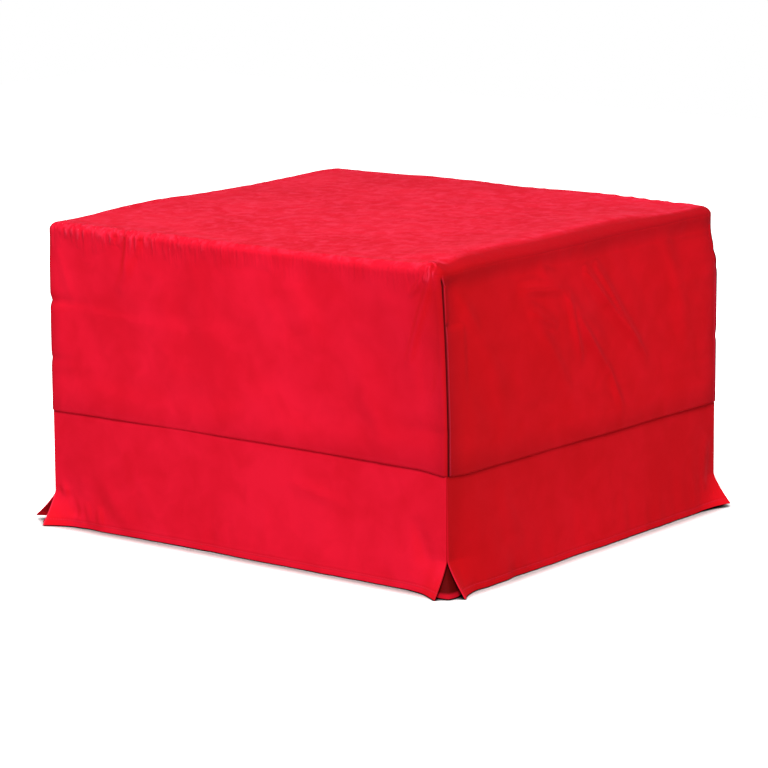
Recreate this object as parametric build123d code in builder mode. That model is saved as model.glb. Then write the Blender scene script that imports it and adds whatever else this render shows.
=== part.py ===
from build123d import *
from math import cos, pi, radians, sin
import os

os.makedirs("parts", exist_ok=True)

# A fold out ottoman guest bed, folded: three bed sections lie on each other in a Z, under a loose
# slipcover with a skirt. Millimetres, Z up, floor at 0, centred in plan. The bed opens towards -Y.

# Slipcover
cover_width = 700.0
cover_depth = 655.0
cloth = 2.0
cover_crown = 2.5
cover_corner_r = 7.0
cover_edge_r = 10.0
cover_bulge = 1.0
seam_z = 157.0
seam_tuck = 6.0
hem_z = 4.0
flare_out = 28.0
flare_reach = 46.0
flare_rise = 44.0
flare_rest = 0.8
insert_reach = 62.0
insert_corner_r = 20.0
insert_hem_z = 2.5
top_seam_drop = 16.0
flare_mid_share = 0.3
flare_half_share = 0.5
flare_waist_share = 0.4

# Stuffed blocks: how far outside the sides the plan's corner arcs run out
corner_ease = 2.0
# The crown seen from the front is this much higher than from the side, and is cut by it
crown_lead_share = 1.25

# Clearances
seam_gap = 0.3
seat_gap = 0.3
fold_gap = 0.3
cover_gap = 0.4
fit = 0.05
weld_gap = 0.2

# Bed sections
side_room = 12.0
end_room = 19.5
rail_half_gauge = cover_width / 2 - side_room
rail_half_len = cover_depth / 2 - end_room
rail = 22.0
rail_chamfer = 2.0
rail_wall = 1.5
plug_lip = 2.0
plug_depth = 14.0
plug_taper = 12.0
leg_h = 112.0
deck_h = 9.0
frame_room = 1.4

# Slats and their plastic holders
slat_w = 50.0
slat_t = 6.5
slat_chamfer = 1.6
slat_count = 7
slat_end_margin = 40.0
holder_wall = 4.0
holder_outset = 4.5
holder_len = 26.5
holder_end = 1.5
holder_h = 8.4

# Mattress blocks
mattress_side_room = 7.0
mattress_lap = 0.5
mattress_half_w = rail_half_gauge - mattress_side_room
mattress_half_l = rail_half_len + mattress_lap
mattress_h = 73.0
mattress_crown = 7.0
mattress_draw = 5.0
mattress_corner_r = 22.0
mattress_edge_r = 9.0

# Hold-down straps
strap_inset = 73.0
strap_y = rail_half_len - strap_inset
strap_half_w = 18.0
strap_t = 0.8
strap_tail = 14.0
strap_turns = (90.0, 60.0, 30.0, 0.0)
strap_shares = (0.35, 0.7, 1.0)

# Fold hinges
hinge_reach = 3.0
hinge_y = rail_half_len + hinge_reach
boss_r = 11.0
pin_r = 4.0
pin_head_r = 6.0
pin_head = 1.6
plate_t = 3.0
plate_foot = 47.0
plate_inset = 0.5
plate_end = 2.5
plate_edge = 1.0
plate_low = 8.0
joggle = 5.0

# Legs: bent square tube hoops with rubber sleeves for feet
base_leg_w = 20.0
base_leg_inset = 30.0
base_leg_y = rail_half_len - base_leg_inset
fold_leg_w = 18.0
leg_wall = 1.5
leg_bend_r = 42.0
foot_wall = 2.0
fold_foot_wall = 1.7
foot_len = 42.0
foot_inset = 103.0
foot_x = rail_half_gauge - foot_inset
middle_leg_inset = 118.0
end_leg_inset = 38.0
middle_leg_y = rail_half_len - middle_leg_inset
end_leg_y = rail_half_len - end_leg_inset
leg_side_gap = 2.0
leg_top = 6.0

overrun = 5.0
arc_half_turn = 45.0

# Levels that follow from the sizes above
section_h = frame_room + rail + deck_h + mattress_h + fold_gap
z_low_fold = leg_h + section_h
z_high_fold = z_low_fold + section_h
z_stack = z_high_fold + section_h
cover_half_w = cover_width / 2
cover_half_d = cover_depth / 2
cover_top_z = z_stack - fold_gap + cover_gap + cloth
rail_x = rail_half_gauge - rail / 2
rail_inner_x = rail_half_gauge - rail
mattress_base = frame_room + rail + deck_h
skirt_half_w = cover_half_w - cover_bulge - cloth - seam_gap
skirt_half_d = cover_half_d - cover_bulge - cloth - seam_gap
outer_plate_x = rail_half_gauge + seat_gap
far_plate_x = outer_plate_x + plate_t + seat_gap
inner_plate_x = rail_half_gauge - plate_inset - plate_t
rail_level = frame_room + rail / 2


def save(part, node):
    part.label = node
    export_step(part, f"parts/{node}.step")


def cylinders(x_from, length, places, radius, mode=Mode.ADD):
    """Round bars or holes along X, mirrored to both sides of the bed."""
    for side in (-1, 1):
        with BuildSketch(Plane.YZ.offset(side * x_from)) as ends:
            with Locations(*places):
                Circle(radius)
        extrude(to_extrude=ends.sketch, amount=side * length, mode=mode)


def hex_heads(x_from, places):
    """Bolt heads at both sides of the bed, seen from outside as hexagons."""
    for side in (-1, 1):
        with BuildSketch(Plane.YZ.offset(side * x_from)) as heads:
            with Locations(*places):
                RegularPolygon(pin_head_r, 6)
        extrude(to_extrude=heads.sketch, amount=side * pin_head)


def arc_point(centre, radius, turn):
    """The point of a circle at a turn in degrees, from the first axis."""
    return (centre[0] + radius * cos(radians(turn)), centre[1] + radius * sin(radians(turn)))


def side_profile(half, z_base, z_crown, crown, draw, edge_r, soft_base):
    """Half section of a stuffed block mirrored: flat base, bulging sides, crown towards z_crown."""
    up = 1 if z_crown > z_base else -1
    hip = half - draw
    z_edge = z_crown - up * crown
    z_high = z_edge - up * edge_r
    z_low = z_base + up * edge_r if soft_base else z_base
    base_end = hip - edge_r if soft_base else hip
    with BuildLine() as outline:
        Line((-base_end, z_base), (base_end, z_base))
        ThreePointArc((edge_r - hip, z_edge), (0, z_crown), (hip - edge_r, z_edge))
        for side in (-1, 1):
            ThreePointArc((side * hip, z_low), (side * half, (z_low + z_high) / 2), (side * hip, z_high))
            shoulder = arc_point((hip - edge_r, z_high), edge_r, up * arc_half_turn)
            ThreePointArc((side * hip, z_high), (side * shoulder[0], shoulder[1]), (side * (hip - edge_r), z_edge))
            if soft_base:
                foot = arc_point((hip - edge_r, z_low), edge_r, -up * arc_half_turn)
                ThreePointArc((side * hip, z_low), (side * foot[0], foot[1]), (side * base_end, z_base))
    return outline.edges()


def block_form(half_x, half_y, z_base, z_crown, crown, draw, corner_r, edge_r, soft_base=True):
    """A stuffed block: sides drawn in at both edges, crown towards z_crown, rounded all over."""
    ease_r = corner_r + corner_ease
    lead = crown * crown_lead_share
    z_lead = z_crown + (lead - crown if z_crown > z_base else crown - lead)
    with BuildPart() as block:
        for plane, half, run, top, rise, mode in (
            (Plane.XZ, half_x, half_y, z_lead, lead, Mode.ADD),
            (Plane.YZ, half_y, half_x, z_crown, crown, Mode.INTERSECT),
        ):
            with BuildSketch(plane) as section:
                make_face(side_profile(half, z_base, top, rise, draw, edge_r, soft_base))
            extrude(to_extrude=section.sketch, amount=run + overrun, both=True, mode=mode)
        with BuildSketch(Plane.XY.offset((z_base + z_crown) / 2)) as plan:
            RectangleRounded(2 * (half_x + corner_ease), 2 * (half_y + corner_ease), ease_r)
        extrude(to_extrude=plan.sketch, amount=abs(z_crown - z_base), both=True, mode=Mode.INTERSECT)
    return block.part


def crown_radius(reach, crown):
    return (reach ** 2 + crown ** 2) / (2 * crown)


def crown_rise(along, reach, crown):
    """How high a crowned face stands over its rounded edges, along from its middle."""
    crown_r = crown_radius(reach, crown)
    return crown - crown_r + (crown_r ** 2 - along ** 2) ** 0.5


def crown_along(rise, reach, crown):
    """How far from its middle a crowned face stands that high over its rounded edges."""
    crown_r = crown_radius(reach, crown)
    return (crown_r ** 2 - (crown_r - crown + rise) ** 2) ** 0.5


def rail_section():
    """Square tube, its outer corners eased."""
    with BuildSketch(mode=Mode.PRIVATE) as outer:
        Rectangle(rail, rail)
        chamfer(outer.vertices(), rail_chamfer)
    add(outer.sketch)
    Rectangle(rail - 2 * rail_wall, rail - 2 * rail_wall, mode=Mode.SUBTRACT)


class Section:
    """One bed section, standing on the fold plane z_plane, towards +Z (up=1) or -Z (up=-1)."""

    def __init__(self, name, z_plane, up, pivot_y=None):
        self.name = name
        self.z_plane = z_plane
        self.up = up
        self.pivot_y = pivot_y

    def level(self, height):
        return self.z_plane + self.up * height

    def side_rails(self):
        z_rail = self.level(rail_level)
        for side, word in ((-1, "left"), (1, "right")):
            with BuildPart() as tube:
                with BuildSketch(Plane.XZ):
                    with Locations((side * rail_x, z_rail)):
                        rail_section()
                extrude(amount=rail_half_len, both=True)
                if self.pivot_y is not None:
                    with BuildSketch(Plane.YZ.offset(side * (rail_x - rail))) as bore:
                        with Locations((self.pivot_y, z_rail)):
                            Circle(pin_r + fit)
                    extrude(to_extrude=bore.sketch, amount=side * 2 * rail, mode=Mode.SUBTRACT)
            save(tube.part, f"{self.name}_rail_{word}")

    def end_rails(self):
        for side, word in ((-1, "front"), (1, "back")):
            with BuildPart() as tube:
                with BuildSketch(Plane.YZ):
                    with Locations((side * (rail_half_len - rail / 2), self.level(rail_level))):
                        rail_section()
                extrude(amount=rail_inner_x - weld_gap, both=True)
            save(tube.part, f"{self.name}_end_rail_{word}")

    def rail_plugs(self):
        inside = rail - 2 * rail_wall - 2 * seat_gap
        spots = [(-rail_x, self.level(rail_level)), (rail_x, self.level(rail_level))]
        with BuildPart() as plugs:
            for end in (-1, 1):
                lip_plane = Plane.XZ.offset(-end * (rail_half_len + weld_gap))
                with BuildSketch(lip_plane) as lips:
                    with Locations(*spots):
                        Rectangle(rail, rail)
                extrude(to_extrude=lips.sketch, amount=-end * plug_lip, taper=plug_taper)
                with BuildSketch(lip_plane) as stems:
                    with Locations(*spots):
                        Rectangle(inside, inside)
                extrude(to_extrude=stems.sketch, amount=end * plug_depth)
        save(plugs.part, f"{self.name}_rail_plugs")

    def slat_spots(self):
        run = rail_half_len - slat_end_margin
        z_slat = self.level(frame_room + rail + seat_gap + holder_h / 2)
        return [(-run + 2 * run * i / (slat_count - 1), z_slat) for i in range(slat_count)]

    def slats(self):
        with BuildPart() as boards:
            with BuildSketch(Plane.YZ) as ends:
                with Locations(*self.slat_spots()):
                    Rectangle(slat_w, slat_t)
                chamfer(ends.vertices(), slat_chamfer)
            extrude(amount=rail_half_gauge - holder_outset - holder_end - seat_gap, both=True)
        save(boards.part, f"{self.name}_slats")

    def slat_holders(self):
        x_out = rail_half_gauge - holder_outset
        x_in = x_out - holder_len
        with BuildPart() as cups:
            for side in (-1, 1):
                with BuildSketch(Plane.YZ.offset(side * x_in)) as shells:
                    with Locations(*self.slat_spots()):
                        Rectangle(slat_w + 2 * holder_wall, holder_h)
                extrude(to_extrude=shells.sketch, amount=side * holder_len)
                with BuildSketch(Plane.YZ.offset(side * x_in)) as mouths:
                    with Locations(*self.slat_spots()):
                        Rectangle(slat_w + 2 * seat_gap, slat_t + 2 * seat_gap)
                extrude(
                    to_extrude=mouths.sketch,
                    amount=side * (holder_len - holder_end),
                    mode=Mode.SUBTRACT,
                )
        save(cups.part, f"{self.name}_slat_holders")

    def mattress(self):
        block = block_form(
            mattress_half_w,
            mattress_half_l,
            self.level(mattress_base),
            self.level(section_h - fold_gap),
            mattress_crown,
            mattress_draw,
            mattress_corner_r,
            mattress_edge_r,
        )
        save(block, f"{self.name}_mattress")

    def strap_side(self, extra):
        """Strap line for X > 0: over the crown and the rounded edge, then round the side rail."""
        h_edge = section_h - fold_gap - mattress_crown
        lift = seat_gap + extra
        hip = mattress_half_w - mattress_draw
        reach = hip - mattress_edge_r
        reach_y = mattress_half_l - mattress_draw - mattress_edge_r
        lead = mattress_crown * crown_lead_share
        level_rise = crown_rise(strap_y - strap_half_w, reach_y, mattress_crown)
        level_x = crown_along(level_rise, reach, lead)
        mid_x = (level_x + reach) / 2
        h_hip = h_edge - mattress_edge_r
        h_waist = (h_hip + mattress_base + mattress_edge_r) / 2
        line = [
            (level_x, h_edge + level_rise + lift),
            (mid_x, h_edge + crown_rise(mid_x, reach, lead) + lift),
        ]
        round_r = (mattress_edge_r + lift) / cos(radians(strap_turns[1] - strap_turns[2]) / 2)
        for turn in strap_turns:
            line.append(arc_point((reach, h_hip), round_r, turn))
        for share in strap_shares:
            bulge = mattress_draw * (1 - (1 - share) ** 2)
            line.append((hip + bulge + lift, h_hip + (h_waist - h_hip) * share))
        line += [
            (rail_half_gauge + lift, frame_room + rail),
            (rail_half_gauge + lift, frame_room - lift),
            (rail_inner_x - lift, frame_room - lift),
            (rail_inner_x - lift, frame_room + strap_tail),
        ]
        return [(x, self.level(height)) for x, height in line]

    def straps(self):
        inner = self.strap_side(0)
        outer = self.strap_side(strap_t)
        mirrored = [(-x, z) for x, z in reversed(inner)]
        outline = mirrored + inner + list(reversed(outer)) + [(-x, z) for x, z in outer]
        with BuildPart() as bands:
            for y in (-strap_y, strap_y):
                with BuildSketch(Plane.XZ.offset(-y - strap_half_w)) as band:
                    with BuildLine():
                        Polyline(*outline, close=True)
                    make_face()
                extrude(to_extrude=band.sketch, amount=2 * strap_half_w)
        save(bands.part, f"{self.name}_straps")

    def build(self):
        self.side_rails()
        self.end_rails()
        self.rail_plugs()
        self.slats()
        self.slat_holders()
        self.mattress()
        self.straps()


base = Section("base", leg_h, 1)
middle = Section("middle", z_high_fold, -1, middle_leg_y)
end = Section("end", z_high_fold, 1, -end_leg_y)
for section in (base, middle, end):
    section.build()


def hinge_plates(node, x_face, y_axis, z_axis, foot_z, foot_tall, crank=0):
    """A pair of plates welded to the rails: a foot run out to a round boss at the hinge axis.

    With a crank the boss half stands off by that much, so that it passes its mate's boss.
    """
    inward = -1 if y_axis > 0 else 1
    y_near = y_axis + inward * plate_end
    y_far = y_near + inward * plate_foot
    y_bend = y_axis + inward * (boss_r + 2 * joggle)
    with BuildPart() as plates:
        for side in (-1, 1):
            with BuildSketch(Plane.YZ.offset(side * (x_face + crank))) as arm:
                with Locations(((y_near + y_far) / 2, foot_z)):
                    Rectangle(plate_foot, foot_tall)
                with Locations((y_axis, z_axis)):
                    Circle(boss_r)
                make_hull()
                with Locations((y_axis, z_axis)):
                    Circle(pin_r + fit, mode=Mode.SUBTRACT)
            extrude(to_extrude=arm.sketch, amount=side * plate_t)
            if crank:
                foot_len = abs(y_bend - y_far)
                with BuildSketch(Plane.YZ.offset(side * (x_face + crank))) as beyond:
                    with Locations(((y_bend + inward * joggle + y_far) / 2, foot_z)):
                        Rectangle(foot_len - joggle + fit, 2 * foot_tall)
                extrude(to_extrude=beyond.sketch, amount=side * plate_t, mode=Mode.SUBTRACT)
                with BuildSketch(Plane.YZ.offset(side * x_face)) as foot:
                    with Locations(((y_bend + y_far) / 2, foot_z)):
                        Rectangle(foot_len, foot_tall)
                extrude(to_extrude=foot.sketch, amount=side * plate_t)
                with BuildSketch(Plane.YZ.offset(side * (x_face + plate_t))) as step:
                    with Locations((y_bend + inward * joggle / 2, foot_z)):
                        Rectangle(joggle, foot_tall)
                extrude(to_extrude=step.sketch, amount=side * crank)
    save(plates.part, node)


# Lower fold, base to middle: pins at the front, level with the meeting mattresses
base_rail_top = base.level(frame_room + rail) + weld_gap
hinge_plates(
    "base_hinge_plates", inner_plate_x, -hinge_y, z_low_fold, base_rail_top + plate_low / 2, plate_low
)
full_foot = rail - 2 * plate_edge
low_foot = full_foot - plate_low
hinge_plates(
    "middle_front_hinge_plates",
    outer_plate_x,
    -hinge_y,
    z_low_fold,
    middle.level(rail_level),
    full_foot,
)
# Upper fold, middle to end: pins at the back, level with the meeting frames
hinge_plates(
    "middle_back_hinge_plates",
    outer_plate_x,
    hinge_y,
    z_high_fold,
    middle.level(rail_level + plate_low / 2),
    low_foot,
)
hinge_plates(
    "end_hinge_plates",
    outer_plate_x,
    hinge_y,
    z_high_fold,
    end.level(rail_level + plate_low / 2),
    low_foot,
    crank=far_plate_x - outer_plate_x,
)

with BuildPart() as low_pins:
    low_axis = [(-hinge_y, z_low_fold)]
    low_to = outer_plate_x + plate_t + seat_gap
    cylinders(inner_plate_x, low_to - inner_plate_x, low_axis, pin_r)
    hex_heads(low_to, low_axis)
save(low_pins.part, "base_hinge_pins")

with BuildPart() as high_pins:
    high_axis = [(hinge_y, z_high_fold)]
    high_to = far_plate_x + plate_t + seat_gap
    cylinders(outer_plate_x, high_to - outer_plate_x, high_axis, pin_r)
    hex_heads(high_to, high_axis)
save(high_pins.part, "middle_hinge_pins")


def leg_hoop(plane, tops, bar, half_gauge, width, bore=True):
    """A bent square tube on a plane whose local Y is the leg's length: posts, bends and a bar."""
    way = -1 if bar < tops else 1
    half = width / 2

    def loop(reach):
        """The U at one side of the tube's middle line: reach outwards is positive."""
        x_side = half_gauge + reach
        y_bar = bar + way * reach
        radius = leg_bend_r + reach
        ease = radius * (1 - cos(pi / 4))
        with BuildLine() as line:
            Line((-x_side, tops), (-x_side, y_bar - way * radius))
            ThreePointArc(
                (-x_side, y_bar - way * radius),
                (ease - x_side, y_bar - way * ease),
                (radius - x_side, y_bar),
            )
            Line((radius - x_side, y_bar), (x_side - radius, y_bar))
            ThreePointArc(
                (x_side - radius, y_bar),
                (x_side - ease, y_bar - way * ease),
                (x_side, y_bar - way * radius),
            )
            Line((x_side, y_bar - way * radius), (x_side, tops))
        return line.edges()

    def band(reach):
        """The flat face between the two U lines, reach either side of the middle line."""
        outer_x = half_gauge + reach
        inner_x = half_gauge - reach
        with BuildLine() as caps:
            for side in (-1, 1):
                Line((side * outer_x, tops), (side * inner_x, tops))
        return loop(reach) + loop(-reach) + caps.edges()

    with BuildPart() as hoop:
        with BuildSketch(plane):
            make_face(band(half))
        extrude(amount=half, both=True)
        if bore:
            with BuildSketch(plane):
                make_face(band(half - leg_wall))
            extrude(amount=half - leg_wall, both=True, mode=Mode.SUBTRACT)
    return hoop.part


def foot_sleeves(centre, width, wall):
    """Rubber sleeves round the bar, one at each side: their outer faces are the soles."""
    with BuildPart() as feet:
        for side in (-1, 1):
            with BuildSketch(Plane.YZ.offset(side * (foot_x - foot_len / 2))) as sleeve:
                with Locations(centre):
                    Rectangle(width + 2 * fit + 2 * wall, width + 2 * fit + 2 * wall)
                    Rectangle(width + 2 * fit, width + 2 * fit, mode=Mode.SUBTRACT)
            extrude(to_extrude=sleeve.sketch, amount=side * foot_len)
    return feet.part


# Base legs: two hoops that stand under the side rails
base_bar_z = base_leg_w / 2 + fit + foot_wall
base_feet = []
for side, word in ((-1, "front"), (1, "back")):
    hoop = leg_hoop(
        Plane.XZ.offset(-side * base_leg_y),
        base.level(frame_room) - weld_gap,
        base_bar_z,
        rail_x,
        base_leg_w,
    )
    save(hoop, f"base_leg_{word}")
    base_feet += foot_sleeves((side * base_leg_y, base_bar_z), base_leg_w, foot_wall).solids()
save(Compound(children=base_feet), "base_feet")

# Fold-out legs: hoops stored inside the rails' depth, pinned to the side rails
post_x = rail_inner_x - leg_side_gap - fold_leg_w / 2
fold_bar = leg_h + rail_level - fold_leg_w / 2 - fit - fold_foot_wall
for section, pivot_y, inward in ((middle, middle_leg_y, -1), (end, -end_leg_y, 1)):
    z_pivot = section.level(rail_level)
    y_bar = pivot_y + inward * fold_bar
    hoop = leg_hoop(Plane.XY.offset(z_pivot), pivot_y - inward * leg_top, y_bar, post_x, fold_leg_w)
    with BuildPart() as bored:
        add(hoop)
        cylinders(rail_inner_x - rail, rail, [(pivot_y, z_pivot)], pin_r + fit, Mode.SUBTRACT)
    save(bored.part, f"{section.name}_leg")
    save(foot_sleeves((y_bar, z_pivot), fold_leg_w, fold_foot_wall), f"{section.name}_leg_feet")
    with BuildPart() as leg_rivets:
        rivet_from = post_x - fold_leg_w / 2
        rivet_to = rail_half_gauge + seat_gap
        cylinders(rivet_from, rivet_to - rivet_from, [(pivot_y, z_pivot)], pin_r)
        hex_heads(rivet_to, [(pivot_y, z_pivot)])
    save(leg_rivets.part, f"{section.name}_leg_rivets")

# Slipcover above the seam: one shell of cloth, cut along its sewn seams
cover_outer = block_form(
    cover_half_w, cover_half_d, seam_z, cover_top_z, cover_crown, cover_bulge,
    cover_corner_r, cover_edge_r, soft_base=False,
)
cover_inner = block_form(
    cover_half_w - cloth, cover_half_d - cloth, seam_z, cover_top_z - cloth, cover_crown, cover_bulge,
    cover_corner_r - cloth, cover_edge_r - cloth, soft_base=False,
)
top_seam_z = cover_top_z - top_seam_drop

with BuildPart() as cover_top:
    add(cover_outer)
    add(cover_inner, mode=Mode.SUBTRACT)
    with BuildSketch(Plane.XY.offset(top_seam_z + seam_gap / 2)):
        Rectangle(cover_width + 2 * overrun, cover_depth + 2 * overrun)
    extrude(amount=top_seam_drop + overrun, mode=Mode.INTERSECT)
save(cover_top.part, "cover_top")

mitre_x = cover_half_w - cover_corner_r
mitre_y = cover_half_d - cover_corner_r
mitre_out = cover_corner_r + overrun
side_views = {
    "front": (0, -1),
    "back": (0, 1),
    "left": (-1, 0),
    "right": (1, 0),
}
for word, (way_x, way_y) in side_views.items():
    if way_x:
        corners = [
            (way_x * (mitre_x + seam_gap), mitre_y),
            (way_x * (mitre_x + seam_gap + mitre_out), mitre_y + mitre_out),
            (way_x * (mitre_x + seam_gap + mitre_out), -mitre_y - mitre_out),
            (way_x * (mitre_x + seam_gap), -mitre_y),
        ]
    else:
        corners = [
            (mitre_x, way_y * mitre_y),
            (mitre_x + mitre_out, way_y * (mitre_y + mitre_out)),
            (-mitre_x - mitre_out, way_y * (mitre_y + mitre_out)),
            (-mitre_x, way_y * mitre_y),
        ]
    with BuildPart() as panel:
        add(cover_outer)
        add(cover_inner, mode=Mode.SUBTRACT)
        with BuildSketch(Plane.XY.offset(seam_z - overrun)) as wedge:
            with BuildLine():
                Polyline(*corners, close=True)
            make_face()
        extrude(
            to_extrude=wedge.sketch,
            amount=top_seam_z - seam_gap / 2 - seam_z + overrun,
            mode=Mode.INTERSECT,
        )
    save(panel.part, f"cover_side_{word}")


def skirt_outline(way, half_run, face, flare):
    """One level of a skirt panel: straight along its side, both ends curling out by flare."""
    way_x, way_y = way

    def spot(along, out):
        if way_x:
            return (way_x * (face + out), along)
        return (along, way_y * (face + out))

    start = half_run - flare_reach
    with BuildLine() as outline:
        for out in (0, -cloth):
            ThreePointArc(
                spot(-half_run, flare + out),
                spot(-start - flare_reach * flare_half_share, flare * flare_mid_share + out),
                spot(-start, out),
            )
            Line(spot(-start, out), spot(start, out))
            ThreePointArc(
                spot(start, out),
                spot(start + flare_reach * flare_half_share, flare * flare_mid_share + out),
                spot(half_run, flare + out),
            )
        Line(spot(-half_run, flare), spot(-half_run, flare - cloth))
        Line(spot(half_run, flare), spot(half_run, flare - cloth))
    return outline.edges()


skirt_top_z = seam_z + seam_tuck
skirt_levels = (
    (skirt_top_z, flare_rest / 4, cover_corner_r),
    (seam_z - seam_gap, flare_rest / 4, cover_corner_r),
    (seam_z - seam_tuck, flare_rest / 4, 0),
    (hem_z + flare_rise, flare_rest, 0),
    (hem_z + flare_rise / 2, flare_out * flare_waist_share, 0),
    (hem_z, flare_out, 0),
)
for word, way in side_views.items():
    if way[0]:
        face = skirt_half_w
        run = skirt_half_d - cloth - seam_gap - flare_rest / 4
    else:
        face = skirt_half_d
        run = skirt_half_w
    with BuildPart() as skirt:
        for level, flare, narrow in skirt_levels:
            with BuildSketch(Plane.XY.offset(level)):
                make_face(skirt_outline(way, run - narrow, face, flare))
        loft(ruled=True)
    save(skirt.part, f"skirt_{word}")

# A strip of the same cloth hangs behind each slit
with BuildPart() as inserts:
    for sx in (-1, 1):
        for sy in (-1, 1):
            x_out = skirt_half_w - cloth - seam_gap
            y_out = skirt_half_d - cloth - seam_gap
            x_end = x_out - insert_reach
            y_end = y_out - insert_reach
            with BuildSketch(Plane.XY.offset(insert_hem_z)) as strip:
                with BuildLine():
                    for inset in (0, cloth):
                        bend_r = insert_corner_r - inset
                        x_far = x_out - inset
                        y_far = y_out - inset
                        Line((sx * x_end, sy * y_far), (sx * (x_far - bend_r), sy * y_far))
                        ease = bend_r * (1 - cos(pi / 4))
                        ThreePointArc(
                            (sx * (x_far - bend_r), sy * y_far),
                            (sx * (x_far - ease), sy * (y_far - ease)),
                            (sx * x_far, sy * (y_far - bend_r)),
                        )
                        Line((sx * x_far, sy * (y_far - bend_r)), (sx * x_far, sy * y_end))
                    Line((sx * x_end, sy * y_out), (sx * x_end, sy * (y_out - cloth)))
                    Line((sx * x_out, sy * y_end), (sx * (x_out - cloth), sy * y_end))
                make_face()
            extrude(to_extrude=strip.sketch, amount=skirt_top_z - seam_tuck / 2 - insert_hem_z)
save(inserts.part, "corner_inserts")

print("closed height", round(cover_top_z, 2))
print("lower fold axis z", round(z_low_fold, 3), "upper fold axis z", round(z_high_fold, 3))
print("bed length open", round(4 * hinge_y + 2 * rail_half_len, 1))
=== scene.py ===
import math

import bpy
import numpy as np
from bpy.props import FloatProperty, FloatVectorProperty, IntProperty, PointerProperty
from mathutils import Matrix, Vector, noise


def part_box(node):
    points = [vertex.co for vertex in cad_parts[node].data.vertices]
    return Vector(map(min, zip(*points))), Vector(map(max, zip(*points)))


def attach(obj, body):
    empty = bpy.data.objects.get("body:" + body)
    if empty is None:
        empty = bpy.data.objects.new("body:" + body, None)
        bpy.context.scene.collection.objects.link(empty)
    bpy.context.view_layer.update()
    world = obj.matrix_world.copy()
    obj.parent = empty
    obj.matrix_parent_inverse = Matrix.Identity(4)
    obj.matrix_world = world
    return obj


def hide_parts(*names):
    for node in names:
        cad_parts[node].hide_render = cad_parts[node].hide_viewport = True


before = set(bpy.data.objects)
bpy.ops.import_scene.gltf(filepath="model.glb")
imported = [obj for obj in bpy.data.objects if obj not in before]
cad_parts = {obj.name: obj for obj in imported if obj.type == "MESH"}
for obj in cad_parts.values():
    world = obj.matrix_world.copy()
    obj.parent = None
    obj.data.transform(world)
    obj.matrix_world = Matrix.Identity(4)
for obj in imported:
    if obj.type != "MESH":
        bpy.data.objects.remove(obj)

bl_info = {
    "name": "Fold Out Ottoman Bed",
    "version": (1, 0, 0),
    "blender": (4, 5, 0),
    "location": "View3D > Sidebar > Ottoman",
    "description": "Slipcover, mattress blocks, straps, finishes and studio of a fold out ottoman bed",
    "category": "Object",
}

SECTIONS = ("base", "middle", "end")
# Height of the plane that each section is measured from, and which way up it lies when folded
STRAP_PLANES = {"base": (0.112, 1), "middle": (0.3234, -1), "end": (0.3234, 1)}
# Heights of the two folds of the bed, which show as pressed lines in the cover
FOLD_LEVELS = (0.3234, 0.2177)
# The seam's usual height, from which the meshes above and below it are divided
SEAM_LEVEL = 0.157
# A mattress block's underside over its section's plane
BLOCK_BASE = 0.0324
# Edges sharper than this stay sharp
SHEET_CREASE = math.radians(60)
BLOCK_CREASE = math.radians(50)
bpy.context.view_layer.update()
TOP_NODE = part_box("cover_top")
# Each face of the cover: its way along and its way out
FACES = {
    "front": ((1, 0), (0, -1)),
    "right": ((0, 1), (1, 0)),
    "back": ((-1, 0), (0, 1)),
    "left": ((0, -1), (-1, 0)),
}


def length(name, text, default):
    return FloatProperty(name=name, description=text, default=default, unit="LENGTH")


def angle(name, text, degrees):
    return FloatProperty(name=name, description=text, default=math.radians(degrees), subtype="ANGLE")


def tone(name, text, default):
    return FloatVectorProperty(name=name, description=text, default=default, subtype="COLOR")


class SlipcoverSizes(bpy.types.PropertyGroup):
    half_width: length("Half width", "Middle to the left and right faces", 0.350)
    half_depth: length("Half depth", "Middle to the front and back faces", 0.3275)
    top: length("Top", "Height of the crown", TOP_NODE[1].z + 0.0050)
    crown: length("Crown", "How far the top rises from its edges to its middle", 0.0010)
    edge_x: length("Side edge", "How far in the left and right top edges begin to fall", 0.015)
    edge_y: length("Front edge", "How far in the front and back top edges begin to fall", 0.011)
    edge_z: length("Edge fall", "Height of the rounded top edges", 0.010)
    corner: length("Corner", "Radius of the upright corners at the top", 0.009)
    corner_low: length("Low corner", "Radius of the upright corners lower down", 0.007)
    cloth: length("Cloth", "Thickness of the cloth", 0.0018)
    step: length("Skirt step", "How far the skirt hangs behind the upper panels", 0.0029)
    tuck: length("Tuck", "How far the skirt reaches up behind the seam", 0.006)
    hem: length("Hem", "Height of the hem above the floor", 0.0014)
    flare_out: length("Flare", "How far the skirt's lower corners curl out", 0.028)
    flare_reach: length("Flare reach", "How far from a skirt's end the curl begins", 0.064)
    flare_rise: length("Flare rise", "How high above the hem the slit opens", 0.046)
    rumple: length("Rumple", "Height of the broad waves in the cloth", 0.0034)
    pucker: length("Pucker", "Height of the small gathers at the top seam", 0.0015)
    lines: IntProperty(name="Lines", description="Rows of the mesh across the top", default=192)


class ClothLook(bpy.types.PropertyGroup):
    bright: tone("Bright", "Nap brushed towards the light", (0.850, 0.0076, 0.0325))
    deep: tone("Deep", "Nap brushed away from the light", (0.745, 0.0054, 0.0220))
    # The insert's tone is the cover's red cloth painted in shade
    insert: tone("Insert", "Cloth behind the corner slits", (0.170, 0.0011, 0.0018))
    ticking: tone("Ticking", "Cover of the mattress blocks", (0.80, 0.78, 0.72))
    webbing: tone("Webbing", "Hold-down straps", (0.045, 0.045, 0.050))


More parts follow.
